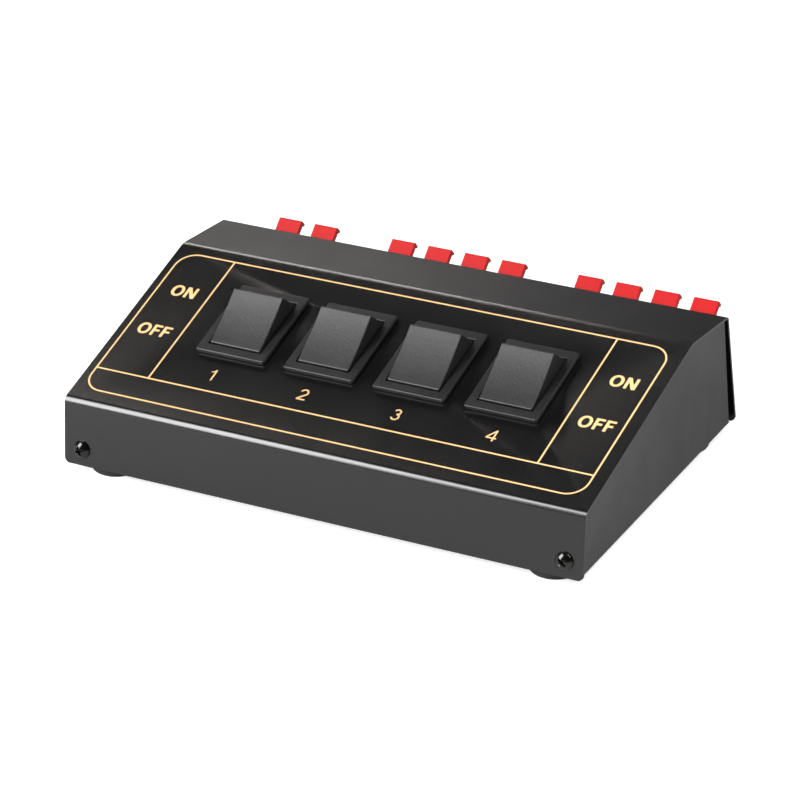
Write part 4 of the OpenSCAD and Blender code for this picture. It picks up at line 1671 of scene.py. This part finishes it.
    def _cap(self) -> bpy.types.Object:
        """Shapes the rocker's outside: a dished face, drafted sides and a skirt.

        Returns:
            The solid cap, in its pivot's frame, level.
        """
        dish_r = (self.half_len**2 + self.dip**2) / (2 * self.dip)
        sweep = math.degrees(math.asin(self.half_len / dish_r))
        dish = arc((0, self.rise - self.dip + dish_r), dish_r, 270 + sweep, 270 - sweep, 16)
        skirt, drop = self.skirt_half, self.skirt_drop
        slope = (skirt - self.half_len) / (self.rise + drop)
        level = skirt - drop * slope
        rim, low = skirt - self.skirt_foot, -drop - self.skirt_foot
        foot = [(-level, 0), (-skirt, -drop), (-rim, low), (rim, low), (skirt, -drop), (level, 0)]
        outline = dish + foot
        wide = self.plan.opening_w / 2 - self.play

        def half_width(z: float) -> float:
            """Returns the half width of the rocker at height z."""
            return wide - self.draft * max(z, 0) / self.rise

        bm = bmesh.new()
        sides = []
        for side in (-1, 1):
            sides.append([bm.verts.new((side * half_width(z), y, z)) for y, z in outline])
        count, split = len(outline), len(dish)
        for k in range(count):
            n = (k + 1) % count
            bm.faces.new((sides[0][k], sides[0][n], sides[1][n], sides[1][k]))
        for column in sides:
            bm.faces.new(column[: split + 1] + column[-1:])
            bm.faces.new(column[split:])
        shaped = Shaper()
        shaped.bm.free()
        shaped.bm = bm
        return shaped.done("cap")

    @staticmethod
    def _ring(width: float, length: float, z: float, radius: float) -> list[Vector]:
        """Returns a rounded rectangle at a height, as ring points."""
        return [Vector((x, y, z)) for x, y in rounded_rect(width, length, radius)]


# ============================ Terminals ============================


@dataclass(frozen=True)
class Levers:
    """The sprung levers of the terminals, ribbed across their upper face."""

    plan: TerminalPlan
    length: float = 14.0
    thickness: float = 1.75
    tip_r: float = 0.5
    lip_r: float = 0.3
    over_pivot: float = 0.33
    rise: float = 34.5
    lip_len: float = 1.1
    lip_t: float = 0.9
    hub_r: float = 1.7
    pin_r: float = 1.0
    pin_out: float = 0.8
    nose_w: float = 3.0
    nose_len: float = 3.2
    nose_r: float = 0.8
    edge_break: float = 0.22
    rib_count: int = 4
    rib_first: float = 7.6
    rib_step: float = 1.35
    rib_r: float = 0.3
    rib_sink: float = 0.17
    rib_margin: float = 1.2
    pin_sides: int = 32

    def build(self, palette: Palette, ribbing: NodeTool) -> None:
        """Builds one lever and puts a copy in every cell.

        Args:
            palette: The finishes.
            ribbing: The tree that lays the ribs.
        """
        lever = self._lever(palette["lever_red"], ribbing)
        plan = self.plan
        pivot = Matrix.Translation((0, plan.pivot_y, plan.pivot_z))
        for block, name in enumerate(plan.names):
            for row, tint in enumerate(("red", "black")):
                for column in range(1, plan.columns[block] + 1):
                    node = f"{name}_{tint}_lever_{column}"
                    piece = copied(lever, f"{name}_{tint}_tab_{column}")
                    place = plan.block(block) @ plan.cell(block, column, row) @ pivot
                    settle(piece, place, palette[f"lever_{tint}"])
                    stand_for(piece, node, f"lever_{tint}", node)
        bpy.data.objects.remove(lever)

    def _lever(self, material: bpy.types.Material, ribbing: NodeTool) -> bpy.types.Object:
        """Builds a lever.

        Args:
            material: A finish to run the tree with.
            ribbing: The tree that lays the ribs.

        Returns:
            The lever, in its pivot's frame, at rest.
        """
        half = self.plan.lever_w / 2
        over, under = self.over_pivot, self.over_pivot - self.thickness
        tip, lip = self.tip_r, under - self.lip_t
        round_r, lip_y = self.lip_r, self.length - self.lip_len
        start = math.degrees(math.asin(over / self.hub_r))
        end = math.degrees(math.asin(under / self.hub_r)) + 360
        outline = arc((self.length - tip, over - tip), tip, 0, 90, 4)
        outline += arc((0, 0), self.hub_r, start, end, 20)
        outline += [(lip_y, under)]
        outline += arc((lip_y + round_r, lip + round_r), round_r, 180, 270, 3)
        outline += arc((self.length - round_r, lip + round_r), round_r, 270, 360, 3)
        tab = Shaper()
        tab.prism(outline, -half, half, ACROSS)
        lever = soften(tab.done("lever"), self.edge_break, segments=3, angle=50)
        ribs = {
            "Count": self.rib_count,
            "First rib": (0, self.rib_first, over - self.rib_sink),
            "Step": (0, self.rib_step, 0),
            "Rib radius": self.rib_r,
            "Rib length": 2 * half - self.rib_margin,
            "Material": material,
        }
        ribbing.run(lever, ribs)
        lever.data.transform(Matrix.Rotation(math.radians(self.rise), 4, "X"))
        return combine(lever, self._hub(half), Operation.WELD)

    def _hub(self, half: float) -> bpy.types.Object:
        """Builds the nose that pushes the leaf spring, and the pins.

        Args:
            half: Half width of the lever.

        Returns:
            The nose and the pins, in the pivot's frame.
        """
        hub = Shaper()
        reach = half + self.pin_out
        hub.cylinder(self.pin_r, -reach, reach, ACROSS, self.pin_sides)
        r = self.nose_r
        nose = arc((0, -self.nose_len), r, 180, 360, 10) + [(r, 0), (-r, 0)]
        hub.prism(nose, -self.nose_w / 2, self.nose_w / 2, ACROSS)
        return hub.done("hub")


@dataclass(frozen=True)
class TerminalBlocks:
    """The moulded blocks that hold the levers, with a slot and a wire entry for each."""

    plan: TerminalPlan
    slot_top: float = -2.4
    slot_bottom: float = -8.6
    slot_flare: float = 0.35
    notch_rise: float = 2.0
    wire_z: float = -10.95
    wire_d: float = 3.2
    wire_mouth: float = 0.65
    pin_r: float = 1.05
    pin_out: float = 1.0
    strip_w: float = 6.2
    strip_t: float = 0.7
    catch_h: float = 8.0
    catch_t: float = 1.6
    catch_out: float = 0.5
    catch_gap: float = 0.15
    plate_break: float = 0.3
    weld: float = 0.5
    mouth_past: float = 1.0
    back_past: float = 0.6
    entry_sides: int = 40

    def build(self, palette: Palette) -> None:
        """Builds and dresses the blocks.

        Args:
            palette: The finishes.
        """
        for block, name in enumerate(self.plan.names):
            moulding = self._plate(block)
            combine(moulding, self._body(block), Operation.WELD)
            for cuts in self._cuts(block):
                combine(moulding, cuts, Operation.CUT)
            moulding.name = moulding.data.name = f"{name}_moulding"
            settle(moulding, self.plan.block(block), palette["terminal_plastic"], crease=32)
            stand_for(moulding, CASE_BODY, "terminal_plastic", f"{name}_terminal_block")

    def _plate(self, block: int) -> bpy.types.Object:
        """Builds a block's outer plate and breaks its edges.

        Args:
            block: Number of the block.

        Returns:
            The plate, in the block's frame.
        """
        plan = self.plan
        half = plan.body_w(block) / 2 + plan.rim
        plate = Shaper()
        plate.box((-half, 0, plan.body_bottom() - plan.rim), (half, plan.plate_t, plan.plate_top))
        return soften(plate.done("plate"), self.plate_break, segments=3)

    def _body(self, block: int) -> bpy.types.Object:
        """Builds a block's body behind the plate, with the catches at its ends.

        Args:
            block: Number of the block.

        Returns:
            The body, in the block's frame.
        """
        plan = self.plan
        half, low, high = plan.body_w(block) / 2, plan.body_bottom(), plan.body_top
        body = Shaper()
        body.box((-half, -plan.cell_depth - plan.wall, low), (half, self.weld, high))
        middle, back = (low + high) / 2, -plan.case.sheet - self.catch_gap
        for end in (-1, 1):
            low_corner = (end * half - self.catch_out, back - self.catch_t, middle - self.catch_h / 2)
            body.box(low_corner, (end * half + self.catch_out, back, middle + self.catch_h / 2))
        return body.done("body")

    def _cuts(self, block: int) -> list[bpy.types.Object]:
        """Collects what is cut from a block, as two sets so that no two cuts in a set overlap.

        Args:
            block: Number of the block.

        Returns:
            The cells, and then what opens into them.
        """
        plan, past = self.plan, self.back_past
        half, low = plan.cell_w() / 2, plan.cell_top - plan.cell_h
        cells, openings = Shaper(), Shaper()
        turn = Matrix.Rotation(math.radians(-90), 4, "X")
        for row in (0, 1):
            slot_top = self.slot_top + (self.notch_rise if row == 0 else 0)
            for column in range(1, plan.columns[block] + 1):
                cell = plan.cell(block, column, row)
                cells.box((-half, -plan.cell_depth, low), (half, 0, plan.cell_top), cell)
                self._flared_slot(openings, cell, half, slot_top)
                entry = cell @ Matrix.Translation((0, 0, self.wire_z)) @ turn
                self._wire_entry(openings, entry)
                pins = cell @ Matrix.Translation((0, plan.pivot_y, plan.pivot_z)) @ ACROSS
                openings.cylinder(self.pin_r, -half - self.pin_out, half + self.pin_out, pins)
                back = -plan.cell_depth - plan.wall - past
                strip = self.strip_w / 2
                openings.box((-strip, back, low), (strip, -plan.cell_depth + past, low + self.strip_t), cell)
        return [cells.done("cells"), openings.done("openings")]

    def _flared_slot(self, cuts: Shaper, cell: Matrix, half: float, top: float) -> None:
        """Cuts a lever's slot through the plate, wider at its mouth.

        Args:
            cuts: Where the cuts are collected.
            cell: The cell's frame.
            half: Half width of the slot.
            top: Its upper end.
        """
        flare, t = self.slot_flare, self.plan.plate_t
        rings = []
        for y, grow in ((t + self.mouth_past, flare), (t, flare), (t - flare, 0), (-self.weld, 0)):
            low, high = self.slot_bottom - grow, top + grow
            corners = ((-half, y, low), (half, y, low), (half, y, high), (-half, y, high))
            rings.append([Vector(p) for p in corners])
        cuts.loft(rings, cell)

    def _wire_entry(self, cuts: Shaper, place: Matrix) -> None:
        """Cuts a round wire entry with a funnel mouth.

        Args:
            cuts: Where the cuts are collected.
            place: The entry's frame, with Z out of the plate.
        """
        r, t, mouth = self.wire_d / 2, self.plan.plate_t, self.wire_mouth
        wide, foot, top = r + mouth, -self.weld, t + self.mouth_past
        profile = [(0, foot), (r, foot), (r, t - mouth), (wide, t), (wide, top), (0, top)]
        cuts.lathe(profile, self.entry_sides, place)


class Innards:
    """Frame nodes whose shape is right as it is, and which take a finish."""

    families = {
        "_plungers": "copper_parts",
        "_contact_blades": "copper_parts",
        "_terminals": "tinned_tags",
        "_contact_strips": "tinned_tags",
        "_leaf_springs": "spring_steel",
        "wiring_loom": "wire_sleeve",
    }

    def dress(self, nodes: dict[str, bpy.types.Object], palette: Palette) -> None:
        """Gives each node its finish.

        Args:
            nodes: The frame's nodes by name.
            palette: The finishes.
        """
        for name, node in nodes.items():
            for ending, finish in self.families.items():
                if name.endswith(ending):
                    self._paint(node, palette[finish])

    @staticmethod
    def _paint(node: bpy.types.Object, material: bpy.types.Material) -> None:
        """Puts the material in every slot of the node.

        Args:
            node: The node's object.
            material: Its finish.
        """
        if not node.material_slots:
            node.data.materials.append(material)
        for slot in node.material_slots:
            slot.material = material


# ============================ Studio ============================


@dataclass(frozen=True)
class Softbox:
    """One area light, aimed at a point of the object."""

    name: str
    toward: tuple[float, float, float]
    distance_m: float
    size_m: tuple[float, float]
    watts: float
    tint: tuple[float, float, float] = (1.0, 1.0, 1.0)
    aim_mm: tuple[float, float, float] = (0.0, 0.0, 25.0)

    def build(self) -> None:
        """Hangs the light."""
        data = bpy.data.lights.new(self.name, "AREA")
        data.shape = "RECTANGLE"
        data.size, data.size_y = self.size_m
        data.energy = self.watts
        data.color = self.tint
        lamp = bpy.data.objects.new(self.name, data)
        away = Vector(self.toward).normalized()
        lamp.location = Vector(self.aim_mm) * MM + away * self.distance_m
        lamp.rotation_euler = (-away).to_track_quat("-Z", "Y").to_euler()
        lamp.visible_camera = False
        bpy.context.scene.collection.objects.link(lamp)


@dataclass(frozen=True)
class Studio:
    """Camera, lights, floor and surroundings."""

    camera_mm: tuple[float, float, float] = (552.3, -916.0, 595.0)
    azimuth: float = 31.11
    elevation: float = 28.39
    roll: float = -3.925
    lens_mm: float = 172.5
    sensor_mm: float = 36.0
    clip_end_m: float = 50.0
    floor_half_m: float = 8.0
    floor_paleness: float = 0.62
    floor_glow: float = 0.72
    mirrored_share: float = 0.1
    ambient: float = 0.25
    overhead_from: tuple[float, float] = (0.12, 0.42)
    overhead_glow: float = 0.01
    rightward_from: tuple[float, float] = (-0.53, -0.36)
    rightward_glow: float = 0.15
    softboxes: tuple[Softbox, ...] = (
        Softbox("key", (-0.55, -0.6, 0.58), 1.0, (0.46, 0.76), 19.0),
        Softbox("fold_strip", (-0.56, 0.67, 0.5), 0.9, (0.4, 0.08), 1.25, (1.0, 0.94, 0.88)),
        Softbox("rear_right", (0.66, 0.46, 0.60), 1.0, (0.3, 0.3), 1.1),
        Softbox("floor_card", (0.35, -0.1, 1.0), 0.15, (0.1, 0.1), 0.2, aim_mm=(130.0, -20.0, 0.0)),
    )

    def build(self) -> None:
        """Sets up the whole studio."""
        scene = bpy.context.scene
        scene.view_settings.view_transform = "Standard"
        self._camera()
        for softbox in self.softboxes:
            softbox.build()
        self._floor()
        self._world()

    def _camera(self) -> None:
        """Places the camera at the photograph's viewpoint."""
        az, el, roll = (math.radians(a) for a in (self.azimuth, self.elevation, self.roll))
        back = Vector((math.sin(az) * math.cos(el), -math.cos(az) * math.cos(el), math.sin(el)))
        right = Vector((math.cos(az), math.sin(az), 0))
        up = back.cross(right)
        right_turned = right * math.cos(roll) + up * math.sin(roll)
        up_turned = up * math.cos(roll) - right * math.sin(roll)
        data = bpy.data.cameras.new("camera")
        data.lens = self.lens_mm
        data.sensor_width = self.sensor_mm
        data.clip_end = self.clip_end_m
        camera = bpy.data.objects.new("camera", data)
        rows = Matrix((right_turned, up_turned, back)).transposed()
        camera.matrix_world = Matrix.Translation(Vector(self.camera_mm) * MM) @ rows.to_4x4()
        bpy.context.scene.collection.objects.link(camera)
        bpy.context.scene.camera = camera

    def _floor(self) -> None:
        """Lays a plain pale floor, which keeps the object's shadow.

        Its glow makes it white to the camera. Glossy surfaces mirror a small share of that.
        """
        half, pale = self.floor_half_m, self.floor_paleness
        corners = [(-half, -half, 0), (half, -half, 0), (half, half, 0), (-half, half, 0)]
        mesh = bpy.data.meshes.new("floor")
        mesh.from_pydata(corners, [], [(0, 1, 2, 3)])
        floor = bpy.data.objects.new("floor", mesh)
        bpy.context.scene.collection.objects.link(floor)
        material = bpy.data.materials.new("floor")
        material.use_nodes = True
        nodes, links = material.node_tree.nodes, material.node_tree.links
        nodes.clear()
        matt, glow = nodes.new("ShaderNodeBsdfDiffuse"), nodes.new("ShaderNodeEmission")
        both, sink = nodes.new("ShaderNodeAddShader"), nodes.new("ShaderNodeOutputMaterial")
        matt.inputs["Color"].default_value = (pale, pale, pale, 1)
        strength = nodes.new("ShaderNodeMath")
        strength.operation = "MULTIPLY"
        strength.inputs[1].default_value = self.floor_glow
        links.new(self._seen_rays(nodes, links, self.mirrored_share), strength.inputs[0])
        links.new(strength.outputs[0], glow.inputs["Strength"])
        links.new(matt.outputs[0], both.inputs[0])
        links.new(glow.outputs[0], both.inputs[1])
        links.new(both.outputs[0], sink.inputs["Surface"])
        mesh.materials.append(material)

    def _world(self) -> None:
        """Surrounds the studio with a world that is a dim light.

        Seen directly it is white. Mirrored, it is white only low down on the left, and fades
        overhead and rightward.
        """
        world = bpy.data.worlds.new("studio")
        world.use_nodes = True
        bpy.context.scene.world = world
        nodes, links = world.node_tree.nodes, world.node_tree.links
        nodes.clear()
        where, split = nodes.new("ShaderNodeTexCoord"), nodes.new("ShaderNodeSeparateXYZ")
        path, background = nodes.new("ShaderNodeLightPath"), nodes.new("ShaderNodeBackground")
        overhead, rightward = nodes.new("ShaderNodeMapRange"), nodes.new("ShaderNodeMapRange")
        mirrored, shown = nodes.new("ShaderNodeMath"), nodes.new("ShaderNodeMath")
        pick, sink = nodes.new("ShaderNodeMix"), nodes.new("ShaderNodeOutputWorld")
        overhead.interpolation_type = "SMOOTHSTEP"
        start_from(overhead, self.overhead_from)
        start_from(rightward, self.rightward_from)
        for fade, glow in ((overhead, self.overhead_glow), (rightward, self.rightward_glow)):
            fade.inputs["To Min"].default_value = 1.0
            fade.inputs["To Max"].default_value = glow
        mirrored.operation = "MULTIPLY"
        shown.operation = "MAXIMUM"
        pick.inputs["A"].default_value = self.ambient
        links.new(where.outputs["Generated"], split.inputs[0])
        links.new(split.outputs["Z"], overhead.inputs["Value"])
        links.new(split.outputs["X"], rightward.inputs["Value"])
        links.new(overhead.outputs["Result"], mirrored.inputs[0])
        links.new(rightward.outputs["Result"], mirrored.inputs[1])
        links.new(path.outputs["Is Camera Ray"], shown.inputs[0])
        links.new(mirrored.outputs[0], shown.inputs[1])
        links.new(self._seen_rays(nodes, links, 1.0), pick.inputs["Factor"])
        links.new(shown.outputs[0], pick.inputs["B"])
        links.new(pick.outputs["Result"], background.inputs["Strength"])
        links.new(background.outputs[0], sink.inputs["Surface"])

    @staticmethod
    def _seen_rays(
        nodes: bpy.types.Nodes, links: bpy.types.NodeLinks, mirrored: float
    ) -> bpy.types.NodeSocket:
        """Marks the rays by which the surroundings are seen, mirrored or seen through glass.

        Args:
            nodes: Nodes of the material or world.
            links: Its links.
            mirrored: Level on the mirrored rays.

        Returns:
            A socket that is 1 on rays that see directly, and the given level on mirrored ones.
        """
        path = nodes.new("ShaderNodeLightPath")
        first, second = nodes.new("ShaderNodeMath"), nodes.new("ShaderNodeMath")
        weaker = nodes.new("ShaderNodeMath")
        weaker.operation = "MULTIPLY"
        weaker.inputs[1].default_value = mirrored
        for node in (first, second):
            node.operation = "MAXIMUM"
        links.new(path.outputs["Is Camera Ray"], first.inputs[0])
        links.new(path.outputs["Is Glossy Ray"], weaker.inputs[0])
        links.new(weaker.outputs[0], first.inputs[1])
        links.new(first.outputs[0], second.inputs[0])
        links.new(path.outputs["Is Transmission Ray"], second.inputs[1])
        return second.outputs[0]


# ============================ The whole object ============================


def main() -> None:
    """Builds the object round the frame, in the studio."""
    logging.basicConfig(level=logging.INFO, format="%(message)s")
    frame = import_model()
    studio = Studio()
    studio.build()
    palette = Palette()
    stamp, ribbing = stamping_tool(), ribbing_tool()
    case = CaseShape(y_shift=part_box("top_cover")[0].y / MM)
    screws, switches, blocks = ScrewPlan(case), SwitchPlan(case), TerminalPlan(case)
    TopCover(case, screws, switches, blocks).build(palette)
    PanelPrint(case).build(palette)
    chassis = refined("base_chassis", "chassis_tray", 0.12, palette["chassis_paint"])
    stand_for(chassis, CASE_BODY, "chassis_paint", "base_chassis")
    Fasteners(screws).build(palette, stamp)
    Feet(case).build(palette, stamp)
    RockerSwitch(switches).build(palette)
    TerminalBlocks(blocks).build(palette)
    Levers(blocks).build(palette, ribbing)
    Innards().dress(frame["nodes"], palette)


if __name__ == "__main__":
    main()
